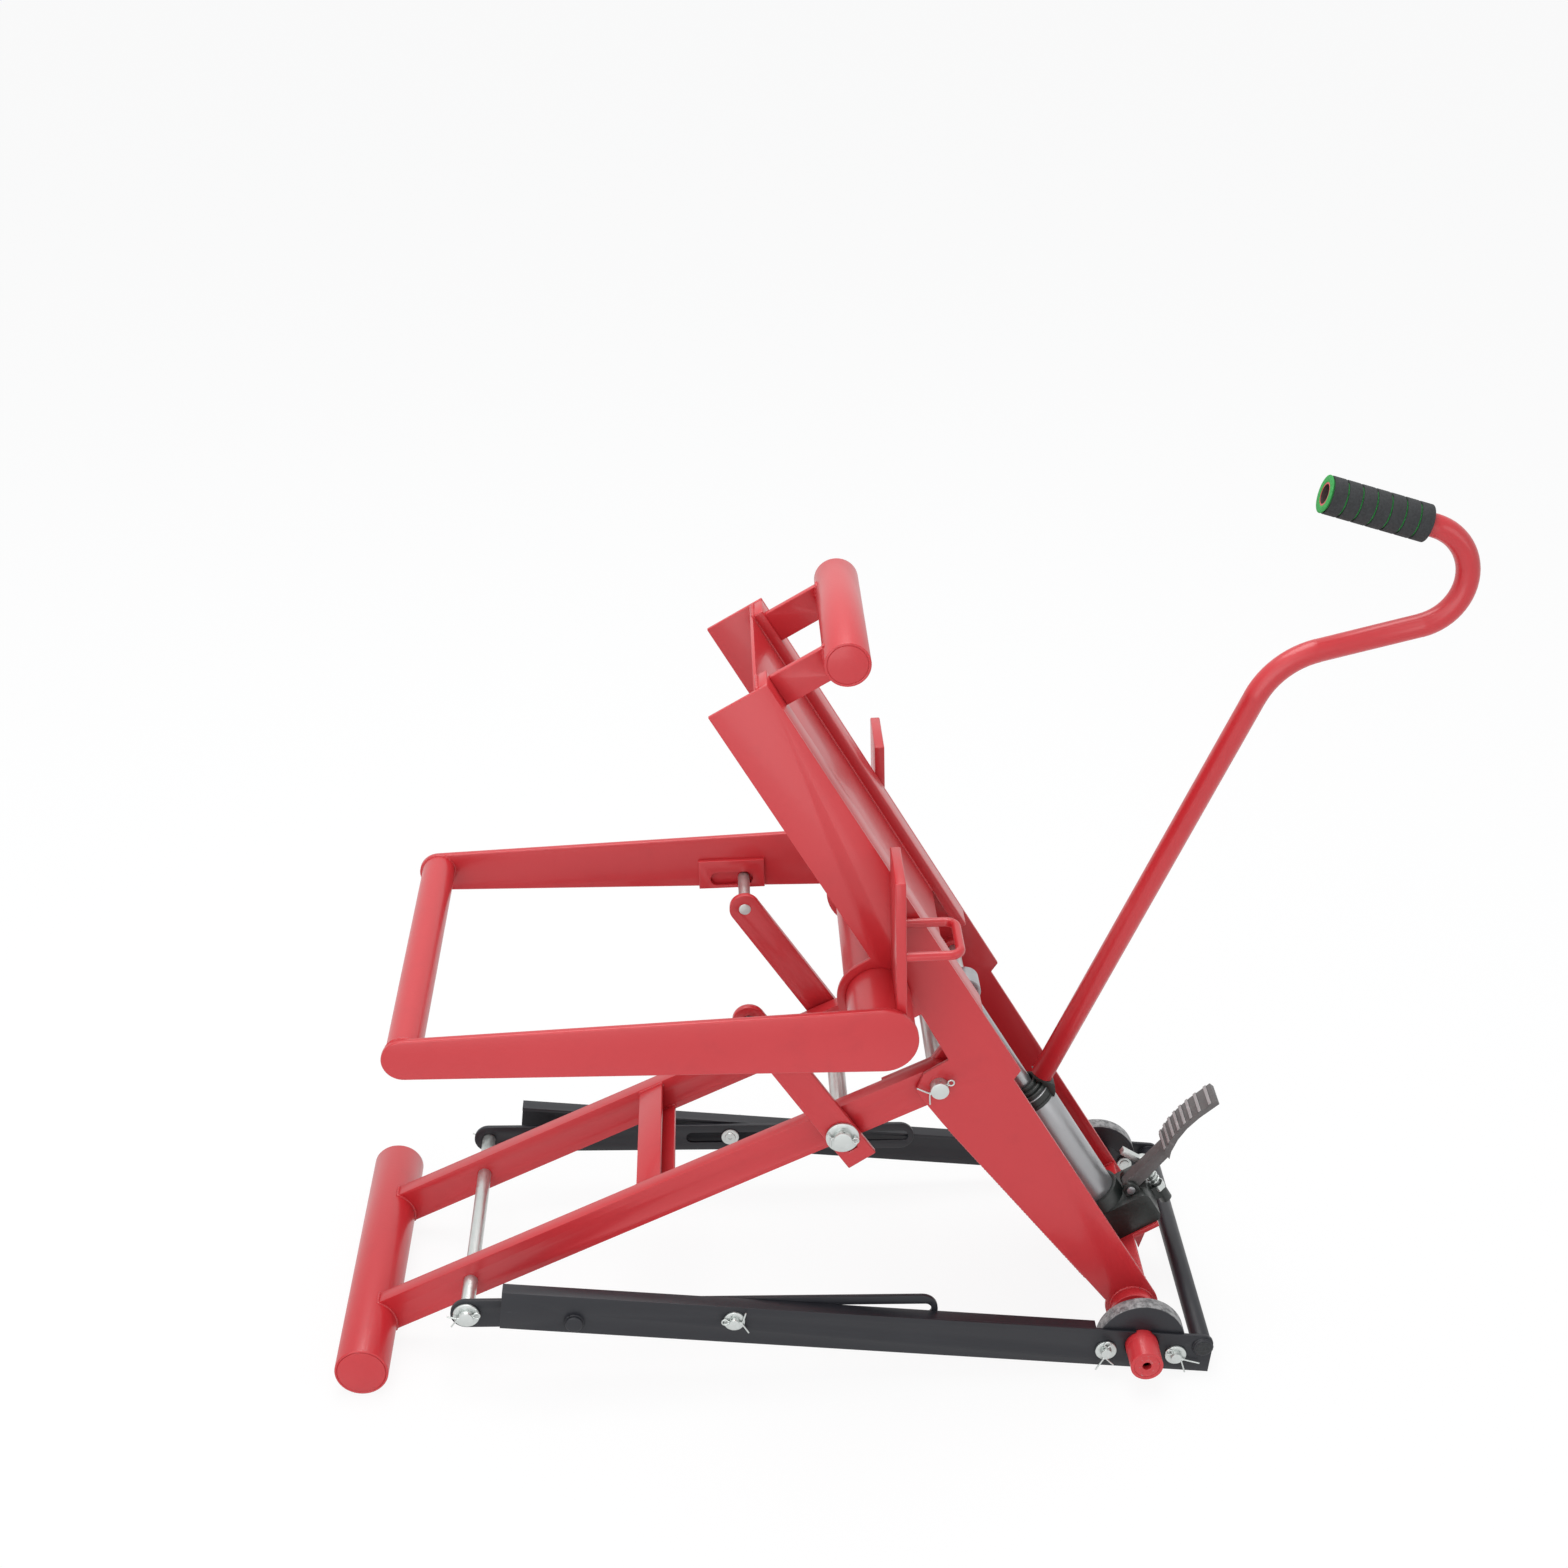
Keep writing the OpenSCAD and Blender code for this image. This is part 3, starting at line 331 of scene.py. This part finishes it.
# Painted shade: a very dark finish for the inside of the handle's tube.
bore_painted_shade = mix_casting("bore_painted_shade", (0.018, 0.006, 0.006), (0.040, 0.014, 0.012), 0.55, 0.00016)
print("finish:", pump_paint.name, pedal_iron.name, rubbed_iron.name, "and", bore_painted_shade.name)

# %% [markdown]
# The grip is closed-cell foam rubber: black rings pressed over a green sleeve.
# Foam has no shine at all, and its skin is full of pinholes, so two sizes of
# cells are pressed into it and the colour is a touch paler between them.

# %% Foam rubber
def mix_foam(name, deep, open_cell):
    bench = Bench(name)
    pores = bench.cells(1500)
    crumb = bench.noise(420, 4, 0.7)
    base = bench.blend(bench.between(crumb, 0.35, 0.7), deep, open_cell)
    pressed = bench.bump(crumb, 0.00020)
    return bench.finish(
        Base_Color=base, Roughness=bench.between(crumb, 0.3, 0.7, 0.82, 0.95),
        Normal=bench.bump(pores, 0.00016, pressed))


foam_black = mix_foam("foam_black", (0.016, 0.017, 0.018), (0.040, 0.042, 0.044))
foam_green = mix_foam("foam_green", (0.025, 0.235, 0.050), (0.050, 0.360, 0.085))
print("finish:", foam_black.name, "and", foam_green.name)

# %% [markdown]
# Every node gets the finish of its material slot. The pedal shares the pump's
# slot but has a look of its own, and so do the chipped plugs in the axle's ends
# and the guards, whose rims carry a painted sheen in pale grey.

# %% Give each node its finish
finish_of_slot = {"red_paint": red_enamel, "black_paint": black_coat, "zinc": zinc_plate,
                  "bare_steel": drawn_steel, "cast_grey": pump_paint,
                  "foam_black": foam_black, "foam_green": foam_green}
slot_of_node = {row["node"]: row["material_slot"] for row in frame["record"]["subparts"]}
own_finish = {"foot_pedal": pedal_iron, "axle_plugs": chipped_enamel,
              "axle_guard_left": guard_coat_rim_sheen, "axle_guard_right": guard_coat_rim_sheen}
finish_of_node = {name: own_finish.get(name, finish_of_slot[slot])
                  for name, slot in slot_of_node.items()}
for name, node in nodes.items():
    node.data.materials.clear()
    node.data.materials.append(finish_of_node[name])
print("painted:", len(nodes), "nodes")

# %% [markdown]
# The CAD edges are perfectly sharp, and no real edge is. Sheared and sawn
# steel has a small round on it that catches a line of light, and that line is
# most of what makes a bar look solid. The node's triangles are loose, so the
# copy is merged, its flat faces are made whole, and only then are the edges
# bevelled. The round is wider on castings and foam than on plate.

# %% A helper that rounds a node's edges on a copy
body_of_node = {name: body for body, members in frame["record"]["behaviour"]["bodies"].items()
                for name in members}
MERGE = 0.01 * MM
FLAT = math.radians(0.6)
CORNER = math.radians(38)
SMOOTH_UP_TO = math.radians(40)


def pick_only(*pieces):
    bpy.ops.object.select_all(action="DESELECT")
    for piece in pieces:
        piece.select_set(True)
    bpy.context.view_layer.objects.active = pieces[0]


def add_to_lift(piece, name, body, finish):
    piece.name = name
    piece.data.name = name
    piece.data.materials.clear()
    piece.data.materials.append(finish)
    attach(piece, body)
    return piece


def soften(name, width, segments=2):
    """A copy of a node with rounded edges, which takes the node's place."""
    pick_only(nodes[name])
    bpy.ops.object.duplicate()
    piece = bpy.context.object
    for key in [k for k in piece.keys() if k.startswith("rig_")]:
        del piece[key]
    piece.parent = None
    bpy.ops.object.mode_set(mode="EDIT")
    bpy.ops.mesh.select_all(action="SELECT")
    bpy.ops.mesh.remove_doubles(threshold=MERGE)
    bpy.ops.mesh.dissolve_limited(angle_limit=FLAT)
    bpy.ops.object.mode_set(mode="OBJECT")
    bevel = piece.modifiers.new("edge", "BEVEL")
    bevel.width, bevel.segments = width, segments
    bevel.limit_method, bevel.angle_limit = "ANGLE", CORNER
    bpy.ops.object.modifier_apply(modifier=bevel.name)
    bpy.ops.object.shade_smooth_by_angle(angle=SMOOTH_UP_TO)
    add_to_lift(piece, name + "_soft", body_of_node[name], finish_of_node[name])
    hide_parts(name)
    return piece


# %% Round the edges of the frame
edge_rounds = {
    0.7 * MM: ["mast_plate_left", "mast_plate_right", "mast_back_plate", "mast_web", "rail_left",
               "rail_right", "axle_guard_left", "axle_guard_right", "tie_bar_left", "tie_bar_right",
               "cross_channel", "pump_bracket", "link_guides", "top_cross_tube", "top_lugs",
               "foot_caps", "axle_plugs", "axle_collars", "valve_body", "top_tube_caps"],
    1.6 * MM: ["arm_left", "arm_right", "face_rails", "wheel_stops", "cradle_bar_left",
               "cradle_bar_right", "level_link_left", "level_link_right", "tail_lugs",
               "foot_tube", "axle_tube", "rear_cross_bar", "rail_studs"],
    0.5 * MM: ["base_washers", "arm_washers", "guard_pins", "rail_pins", "pivot_rod", "link_rod",
               "front_rod", "link_pins", "thrust_pin", "pedal_pin", "ram_cylinder",
               "piston_rod", "handle_tube", "pump_plunger"],
    1.0 * MM: ["pump_block", "foot_pedal"]}
soft = {name: soften(name, width) for width, names in edge_rounds.items() for name in names}
print("rounded:", len(soft), "pieces")

# %% [markdown]
# Where two steel pieces meet, a weld runs along the joint, and the paint lies
# over it. A weld is a row of small overlapping drops. The joints are
# found in the model itself: every sharp edge of one piece that lies on the
# skin of the other. A thin tube with a rippled radius then follows each one.

# %% Find the edges of one piece that lie on another
TOUCH = 0.7 * MM
LOOK_EVERY = 3 * MM
SHARP = math.radians(30)


def skin_of(mesh):
    """A search tree of a mesh's faces."""
    shell = bmesh.new()
    shell.from_mesh(mesh)
    skin = BVHTree.FromBMesh(shell)
    shell.free()
    return skin


def edge_points(piece, wall):
    """Runs of points along the sharp edges of a piece that touch the wall."""
    skin = skin_of(nodes[wall].data)
    shell = bmesh.new()
    shell.from_mesh(nodes[piece].data)
    bmesh.ops.remove_doubles(shell, verts=shell.verts, dist=MERGE)
    bmesh.ops.dissolve_limit(shell, angle_limit=FLAT, verts=shell.verts, edges=shell.edges)
    runs = []
    for edge in shell.edges:
        if edge.is_manifold and edge.calc_face_angle(0) < SHARP:
            continue
        start, end = edge.verts[0].co, edge.verts[1].co
        count = max(1, math.ceil((end - start).length / LOOK_EVERY))
        run = []
        for i in range(count + 1):
            point = start.lerp(end, i / count)
            if skin.find_nearest(point, TOUCH)[0] is not None:
                run.append(point)
            elif run:
                runs.append(run)
                run = []
        runs.append(run)
    shell.free()
    return [run for run in runs if len(run) > 1]


# %% Join the runs end to end
ENDS_MEET = 0.05 * MM


def joined(runs):
    """Chains of runs whose ends meet."""
    chains = []
    while runs:
        chain = runs.pop()
        grown = True
        while grown:
            grown = False
            for run in runs:
                for either in (run, run[::-1]):
                    if (either[0] - chain[-1]).length < ENDS_MEET:
                        chain = chain + either[1:]
                    elif (either[-1] - chain[0]).length < ENDS_MEET:
                        chain = either[:-1] + chain
                    else:
                        continue
                    runs.remove(run)
                    grown = True
                    break
                if grown:
                    break
        chains.append(chain)
    return chains


def evenly(chain, gap):
    """The same line with points a gap apart."""
    points = [chain[0]]
    for point in chain[1:]:
        while (point - points[-1]).length > gap:
            points.append(points[-1] + (point - points[-1]).normalized() * gap)
    return points


# %% Lay a bead along them
DROP_GAP = 1.5 * MM
FEWEST_DROPS = 5
RIPPLE, RIPPLE_TURN, UNEVEN = 0.13, 2.1, 0.07
BEAD, THIN_BEAD = 1.9 * MM, 1.4 * MM


def tube_of(lines, thickness, sides=2):
    """One mesh of tubes. A line is a list of points, each with its share of the thickness."""
    bpy.ops.object.select_all(action="DESELECT")
    bpy.ops.curve.primitive_nurbs_path_add()
    curve = bpy.context.object.data
    curve.splines.clear()
    curve.bevel_depth, curve.bevel_resolution = thickness, sides
    curve.use_fill_caps = True
    for line in lines:
        spline = curve.splines.new("POLY")
        spline.points.add(len(line) - 1)
        for knot, (at, share) in zip(spline.points, line):
            knot.co, knot.radius = (*at, 1), share
    bpy.ops.object.convert(target="MESH")
    bpy.ops.object.shade_smooth()
    return bpy.context.object


def weld(name, body, finish, joints, thickness=BEAD):
    """Beads along the joints, each a piece and the wall that it stands on."""
    dice = random.Random(name)
    lines = []
    for piece, wall in joints:
        for chain in joined(edge_points(piece, wall)):
            points = evenly(chain, DROP_GAP)
            if len(points) >= FEWEST_DROPS:
                drops = [1 + RIPPLE * math.cos(RIPPLE_TURN * i) + dice.uniform(-UNEVEN, UNEVEN)
                         for i in range(len(points))]
                lines.append(list(zip(points, drops)))
    bead = tube_of(lines, thickness, 1)
    add_to_lift(bead, name, body, finish)
    print(name, len(lines), "lines,", len(bead.data.polygons), "faces")


# %% Weld the arms, the mast, the cradle and the base
weld("arm_welds", "arms", red_enamel, [
    ("arm_left", "foot_tube"), ("arm_right", "foot_tube"), ("cross_channel", "arm_left"),
    ("cross_channel", "arm_right"), ("tail_lugs", "arm_left"), ("tail_lugs", "arm_right")])
weld("mast_welds", "mast", red_enamel, [
    ("axle_collars", "mast_plate_left"), ("axle_collars", "mast_plate_right"),
    ("mast_back_plate", "mast_plate_left"), ("mast_back_plate", "mast_plate_right"),
    ("face_rails", "mast_web"), ("top_lugs", "top_cross_tube"), ("face_rails", "top_cross_tube"),
    ("pump_bracket", "mast_plate_left"), ("pump_bracket", "mast_plate_right")])
weld("cradle_welds", "cradle", red_enamel, [
    ("cradle_front_tube", "cradle_bar_left"), ("cradle_front_tube", "cradle_bar_right"),
    ("cradle_rear_tube", "cradle_bar_left"), ("cradle_rear_tube", "cradle_bar_right"),
    ("wheel_stops", "cradle_bar_left"), ("wheel_stops", "cradle_bar_right"),
    ("strap_loop", "cradle_bar_left"), ("link_guides", "cradle_rear_tube")])
weld("base_welds", "base", black_coat, [
    ("rail_left", "rear_cross_bar"), ("rail_right", "rear_cross_bar"),
    ("rail_left", "rail_studs"), ("rail_right", "rail_studs")], THIN_BEAD)

# %% [markdown]
# A split pin is one wire: an eye, two shanks side by side through the hole, and
# two ends that are bent apart. The CAD pin is stout, so a fine one takes its
# place. Each is bent as the photograph shows it, and the right side mirrors
# the left.

# %% Bend a split pin
SHANK_AT = 0.9 * MM
EYE_R = 3.4 * MM
EYE_CLEAR = 1 * MM
BEND_CLEAR = 3 * MM
BEND_SPREAD = 1.6


def split_pin(rod, set_back, rod_d, out, ends, at=None):
    """The wires at both ends of a rod, with lengths in mm and pairs for X and Z.

    out is the way the ends leave the rod, ends are where they stop, counted from its
    middle, and at is that middle where the node holds more than one rod.
    """
    low, high = (Vector(corner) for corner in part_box(rod))
    middle = Vector((at[0] * MM, 0, at[1] * MM)) if at else (low + high) / 2
    out = Vector((out[0], 0, out[1])).normalized()
    side = Vector((-out.z, 0, out.x))
    half = rod_d / 2 * MM
    wires = []
    for y in (low.y + set_back * MM, high.y - set_back * MM):
        centre = Vector((middle.x, y, middle.z))
        tips = [centre + Vector((x * MM, 0, z * MM)) for x, z in ends]
        tips.sort(key=lambda tip: (tip - centre).dot(side))
        eye = centre - out * (half + EYE_CLEAR + EYE_R)
        ring = [eye + EYE_R * (out * math.cos(a) + side * math.sin(a))
                for a in (math.radians(d) for d in range(30, 331, 30))]
        bend = centre + out * (half + BEND_CLEAR)
        shank = side * SHANK_AT
        path = [tips[1], bend + shank * BEND_SPREAD,
                centre + out * half + shank, centre - out * half + shank, *ring,
                centre - out * half - shank, centre + out * half - shank,
                bend - shank * BEND_SPREAD, tips[0]]
        wires.append([(point, 1) for point in rounded_path(path)])
    return wires


def rounded_path(path, steps=4):
    """A smooth line through the points of a path."""
    points = []
    last = len(path) - 1
    for i in range(last):
        p0, p1, p2, p3 = path[max(i - 1, 0)], path[i], path[i + 1], path[min(i + 2, last)]
        for j in range(steps):
            t = j / steps
            points.append(0.5 * (2 * p1 + (p2 - p0) * t + (2 * p0 - 5 * p1 + 4 * p2 - p3) * t ** 2
                                 + (3 * p1 - p0 - 3 * p2 + p3) * t ** 3))
    return points + [path[-1]]


# %% Put the split pins in
PIN_WIRE = 0.95 * MM
base_wires = (split_pin("guard_pins", 4, 12, (-0.1, -1), [(-11, -24), (9, -18)], (245.1, 34.1))
              + split_pin("guard_pins", 4, 12, (0.8, -0.6), [(27, -10), (11, -22)], (324.7, 26.0))
              + split_pin("rail_pins", 4, 12, (1, -0.1), [(13, 13), (16, -14)]))
arm_wires = (split_pin("front_rod", 3.5, 16, (-1, -0.2), [(-21, 2), (-17, -12)])
             + split_pin("link_rod", 3.5, 20, (-0.9, 0.1), [(-17, 7), (-13, -9)]))
mast_wires = split_pin("pivot_rod", 6, 20, (-0.85, -0.5), [(-25, 1), (-10, -20)])
for name, body, wires, old in (("base_split_pins", "base", base_wires, "base_cotters"),
                               ("arm_split_pins", "arms", arm_wires, "arm_cotters"),
                               ("mast_split_pins", "mast", mast_wires, "pivot_cotters")):
    pins = add_to_lift(tube_of(wires, PIN_WIRE), name, body, zinc_plate)
    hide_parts(old)
print("split pins:", len(base_wires + arm_wires + mast_wires))

# %% [markdown]
# The pump stands along the mast, which leans. Round pieces of it are drawn
# upright first, as a half outline that is turned about its middle, and then
# laid into the mast by one matrix.

# %% Pieces that stand along the mast
MAST_FRAME = Matrix.Translation(AXLE_AT) @ Matrix.Rotation(-MAST_LEAN, 4, "Y")
FINE_MERGE = 0.005 * MM


def stood_on_mast(n, y, s=0):
    """The matrix that stands an upright piece at that point, along the mast."""
    return MAST_FRAME @ Matrix.Translation((n * MM, y * MM, s * MM))


def close_up():
    """Joins what meets in the mesh at hand and turns its faces outward."""
    bpy.ops.mesh.select_all(action="SELECT")
    bpy.ops.mesh.remove_doubles(threshold=FINE_MERGE)
    bpy.ops.mesh.normals_make_consistent(inside=False)
    bpy.ops.object.mode_set(mode="OBJECT")


def turned(outline, place, sides=64):
    """A ring drawn up step by step through pairs of radius and height, in mm, and closed."""
    radius, height = outline[0]
    bpy.ops.object.select_all(action="DESELECT")
    bpy.ops.mesh.primitive_circle_add(vertices=sides, radius=radius * MM,
                                      location=(0, 0, height * MM))
    piece = bpy.context.object
    bpy.ops.object.transform_apply(location=True, rotation=True, scale=True)
    bpy.ops.object.mode_set(mode="EDIT")
    for wide, high in outline[1:] + outline[:1]:
        rise = {"value": (0, 0, (high - height) * MM)}
        bpy.ops.mesh.extrude_region_move(TRANSFORM_OT_translate=rise)
        bpy.ops.transform.resize(value=(wide / radius, wide / radius, 1))
        radius, height = wide, high
    close_up()
    bpy.ops.object.shade_smooth_by_angle(angle=SHARP)
    piece.data.transform(place)
    return piece


# %% The gland on the ram: stacked rings and a wiper
RAM_N = 12
gland = turned([(26.1, 232), (26.5, 232.5), (26.5, 235.4), (26.1, 236), (26.1, 237), (26.5, 237.5),
                (26.5, 243.5), (24.4, 246), (23.6, 247), (24.3, 247.8), (24.3, 250), (23.4, 250.8),
                (20.8, 251), (20.8, 252.4), (21.5, 253), (21.5, 255), (20.8, 255.6), (17.8, 256),
                (17.8, 259.4), (17, 260.2), (14.4, 260.2), (14.4, 246.5), (26.1, 245)],
               stood_on_mast(RAM_N, 0))
add_to_lift(gland, "gland_rings", "mast", pump_paint)
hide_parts("gland_nut")
print("gland:", len(gland.data.polygons), "faces")

# %% [markdown]
# The return spring lifts the pedal. It is closed wound wire: a small ring swept
# round the plunger while it climbs. When the pedal goes down the spring is
# squeezed towards its foot.

# %% The return spring
SPRING_N, SPRING_Y, SPRING_FOOT = 78, 13, 42
SPRING_R, SPRING_WIRE_R, SPRING_TURNS, SPRING_LEN = 6.4, 0.9, 4, 22.2
STEPS_A_TURN = 40
bpy.ops.object.select_all(action="DESELECT")
bpy.ops.mesh.primitive_circle_add(vertices=12, radius=SPRING_WIRE_R * MM, fill_type="NGON",
                                  location=(SPRING_R * MM, 0, 0), rotation=(math.pi / 2, 0, 0))
spring = bpy.context.object
bpy.ops.object.transform_apply(location=True, rotation=True, scale=True)
wind = spring.modifiers.new("wind", "SCREW")
wind.screw_offset = SPRING_LEN / SPRING_TURNS * MM
wind.iterations = SPRING_TURNS
wind.steps = wind.render_steps = STEPS_A_TURN
bpy.ops.object.modifier_apply(modifier=wind.name)
bpy.ops.object.mode_set(mode="EDIT")
close_up()
bpy.ops.object.shade_smooth()
spring.data.transform(stood_on_mast(SPRING_N, SPRING_Y, SPRING_FOOT + SPRING_WIRE_R))
add_to_lift(spring, "pedal_spring", body_of_node["return_spring"], zinc_plate)
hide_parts("return_spring")
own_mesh(spring)
print("spring:", SPRING_TURNS, "turns,", len(spring.data.polygons), "faces")

# %% [markdown]
# A plated nut closes the plunger's bore. It is drawn up like the gland, but
# with six sides, and narrows at both ends as a nut's corners do.

# %% The plunger's nut
nut = turned([(5.6, 33), (8, 33), (8.9, 33.9), (8.9, 40.6), (8, 41.6), (5.6, 41.6)],
             stood_on_mast(SPRING_N, SPRING_Y), sides=6)
add_to_lift(nut, "plunger_nut", "mast", zinc_plate)
print("nut:", len(nut.data.polygons), "faces")

# %% [markdown]
# Boots rub the paint off the pedal's ribs first, so they are pale. Each rib is
# one of the pedal's own narrow faces that stand up from the tread, so those
# faces get a second, lighter finish instead of a piece of their own.

# %% Rub the ribs of the pedal
PEDAL_TREAD = [(112, 102), (128, 113.5), (146, 122), (166, 128), (195, 133.5)]
RIB_ABOVE = 0.9


def above_tread(point):
    """How far a point of the pedal stands above the tread, in mm."""
    local = MAST_FRAME.inverted() @ point / MM
    for (n0, s0), (n1, s1) in zip(PEDAL_TREAD, PEDAL_TREAD[1:]):
        if n0 <= local.x <= n1:
            tread = s0 + (local.x - n0) * (s1 - s0) / (n1 - n0)
            return (local.z - tread) * math.cos(math.atan2(s1 - s0, n1 - n0))
    return 0


def refinish(piece, finish, belongs):
    """Gives a second finish to those faces of a piece that belong to it."""
    piece.data.materials.append(finish)
    faces = [face for face in piece.data.polygons if belongs(face)]
    for face in faces:
        face.material_index = 1
    print(finish.name, "on", len(faces), "of", len(piece.data.polygons), "faces")


refinish(soft["foot_pedal"], rubbed_iron, lambda face: above_tread(face.center) > RIB_ABOVE)

# %% [markdown]
# Thin dark matte discs on the rear bar's ends are painted shade for its end
# faces, and a plain washer and a low head hold each rail pin from the inside.

# %% Discs, washers and heads across the lift
def disc_across(outline, x, y, z, way):
    """Turns an outline about an axis across the lift. Its height points way, 1 or -1, along Y."""
    lie_down = Matrix.Rotation(-way * math.pi / 2, 4, "X")
    return turned(outline, Matrix.Translation((x, y, z)) @ lie_down, 48)


def join_as(pieces, name, body, finish):
    pick_only(*pieces)
    bpy.ops.object.join()
    return add_to_lift(bpy.context.object, name, body, finish)


bar_low, bar_high = (Vector(corner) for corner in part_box("rear_cross_bar"))
bar_mid = (bar_low + bar_high) / 2
# Painted shade: a thin dark matte disc sits on each end face of the rear bar, where the end is in
# shade.
SHADE_DISC_SUNK = 0.1 * MM
shade_disc_shape = [(0.4, 0), (8.2, 0), (8.6, 0.3), (8.2, 0.7), (4, 0.95), (0.4, 1)]
join_as([disc_across(shade_disc_shape, bar_mid.x, bar_low.y + SHADE_DISC_SUNK, bar_mid.z, -1),
         disc_across(shade_disc_shape, bar_mid.x, bar_high.y - SHADE_DISC_SUNK, bar_mid.z, 1)],
        "bar_end_shade_discs", "base", foam_black)
pin_low, pin_high = (Vector(corner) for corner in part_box("rail_pins"))
pin_mid = (pin_low + pin_high) / 2
HEAD_CLEAR = 0.4 * MM
inner_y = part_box("tie_bar_right")[0][1] - HEAD_CLEAR
head_shape = [(2.4, 0), (10.4, 0), (10.8, 0.4), (10.8, 1.6), (10.4, 2),
              (6.8, 2.2), (6.2, 3.2), (2.4, 3.4)]
join_as([disc_across(head_shape, pin_mid.x, -inner_y, pin_mid.z, 1),
         disc_across(head_shape, pin_mid.x, inner_y, pin_mid.z, -1)],
        "rail_pin_heads", "base", zinc_plate)
print("bar shade discs and pin heads at", [round(c, 4) for c in bar_mid], [round(c, 4) for c in pin_mid])

# %% [markdown]
# The foam rings are cut straight, with only a small round where each groove
# begins. The green core shows as a thin line in the grooves and as a ring
# round the open end of the tube.

# %% The foam grip
soft["grip_sleeves"] = soften("grip_sleeves", 0.9 * MM, 3)
soft["grip_core"] = soften("grip_core", 0.6 * MM, 2)
print("grip:", len(soft["grip_sleeves"].data.polygons), "faces")

# %% [markdown]
# The handle's bore is given a very dark finish, as painted shade inside the
# tube, and it shows at the open end inside the green ring. A face belongs
# to the bore if a line straight out from it soon meets the tube again.

# %% Paint shade into the handle's bore
BORE_REACH = 24 * MM
JUST_OFF = 0.05 * MM
tube_skin = skin_of(soft["handle_tube"].data)


def in_bore(face):
    start = face.center + face.normal * JUST_OFF
    return tube_skin.ray_cast(start, face.normal, BORE_REACH)[0] is not None


refinish(soft["handle_tube"], bore_painted_shade, in_bore)

# %% [markdown]
# The stage is a pale floor under an even white sky. The camera sees the sky
# and most of the floor as white, as in a studio with no horizon, while the
# floor still takes the shadow that seats the lift on the ground.

# %% Floor and sky
def seen_directly(bench):
    """1 where the camera looks at it, straight or in a shine or through glass."""
    rays = [bench.node("ShaderNodeLightPath", out=ray)
            for ray in ("Is Camera Ray", "Is Glossy Ray", "Is Transmission Ray")]
    return bench.between(rays[0] + rays[1] + rays[2], 0, 1)


WHITE_SHARE = 0.9
FLOOR_ACROSS = 30


def mix_floor():
    bench = Bench("studio_floor")
    grey = bench.node("ShaderNodeBsdfDiffuse", None, {"Color": (0.85, 0.85, 0.85, 1)})
    white = bench.node("ShaderNodeEmission", None, {"Color": (1, 1, 1, 1), "Strength": 1.0})
    return bench.hand_over(bench.node("ShaderNodeMixShader", None,
                                      {0: seen_directly(bench) * WHITE_SHARE, 1: grey, 2: white}))


bpy.ops.mesh.primitive_plane_add(size=FLOOR_ACROSS)
floor = bpy.context.object
floor.name = "floor"
floor.data.materials.append(mix_floor())

bpy.context.scene.world = bpy.data.worlds.new("sky")
sky = Bench("sky", bpy.context.scene.world)
even = sky.node("ShaderNodeBackground", None, {"Color": (0.95, 0.97, 1, 1), "Strength": 0.6})
clear = sky.node("ShaderNodeBackground", None, {"Color": (1, 1, 1, 1), "Strength": 1.0})
sky.hand_over(sky.node("ShaderNodeMixShader", None, {0: seen_directly(sky), 1: even, 2: clear}),
              "ShaderNodeOutputWorld")
print("floor:", floor.dimensions.x, "m across")


# %% Lamps
def hang_lamp(name, at, aim, size, watts):
    """A square lamp at one point, turned towards another."""
    bpy.ops.object.light_add(type="AREA", location=at)
    lamp = bpy.context.object
    lamp.name = name
    lamp.data.size, lamp.data.energy = size, watts
    lamp.rotation_euler = (Vector(aim) - Vector(at)).to_track_quat("-Z", "Y").to_euler()


hang_lamp("key", (-1.9, -2.6, 2.9), (0, 0, 0.4), 3.0, 33)
hang_lamp("front", (-0.9, -3.2, 0.7), (-0.2, 0, 0.1), 2.4, 34)
hang_lamp("top", (-0.4, 0.6, 3.4), (-0.2, 0, 0.3), 2.2, 74)
hang_lamp("fill", (2.6, -2.2, 1.6), (0.1, 0, 0.4), 1.6, 12)
print("stage: floor, sky and four lamps")
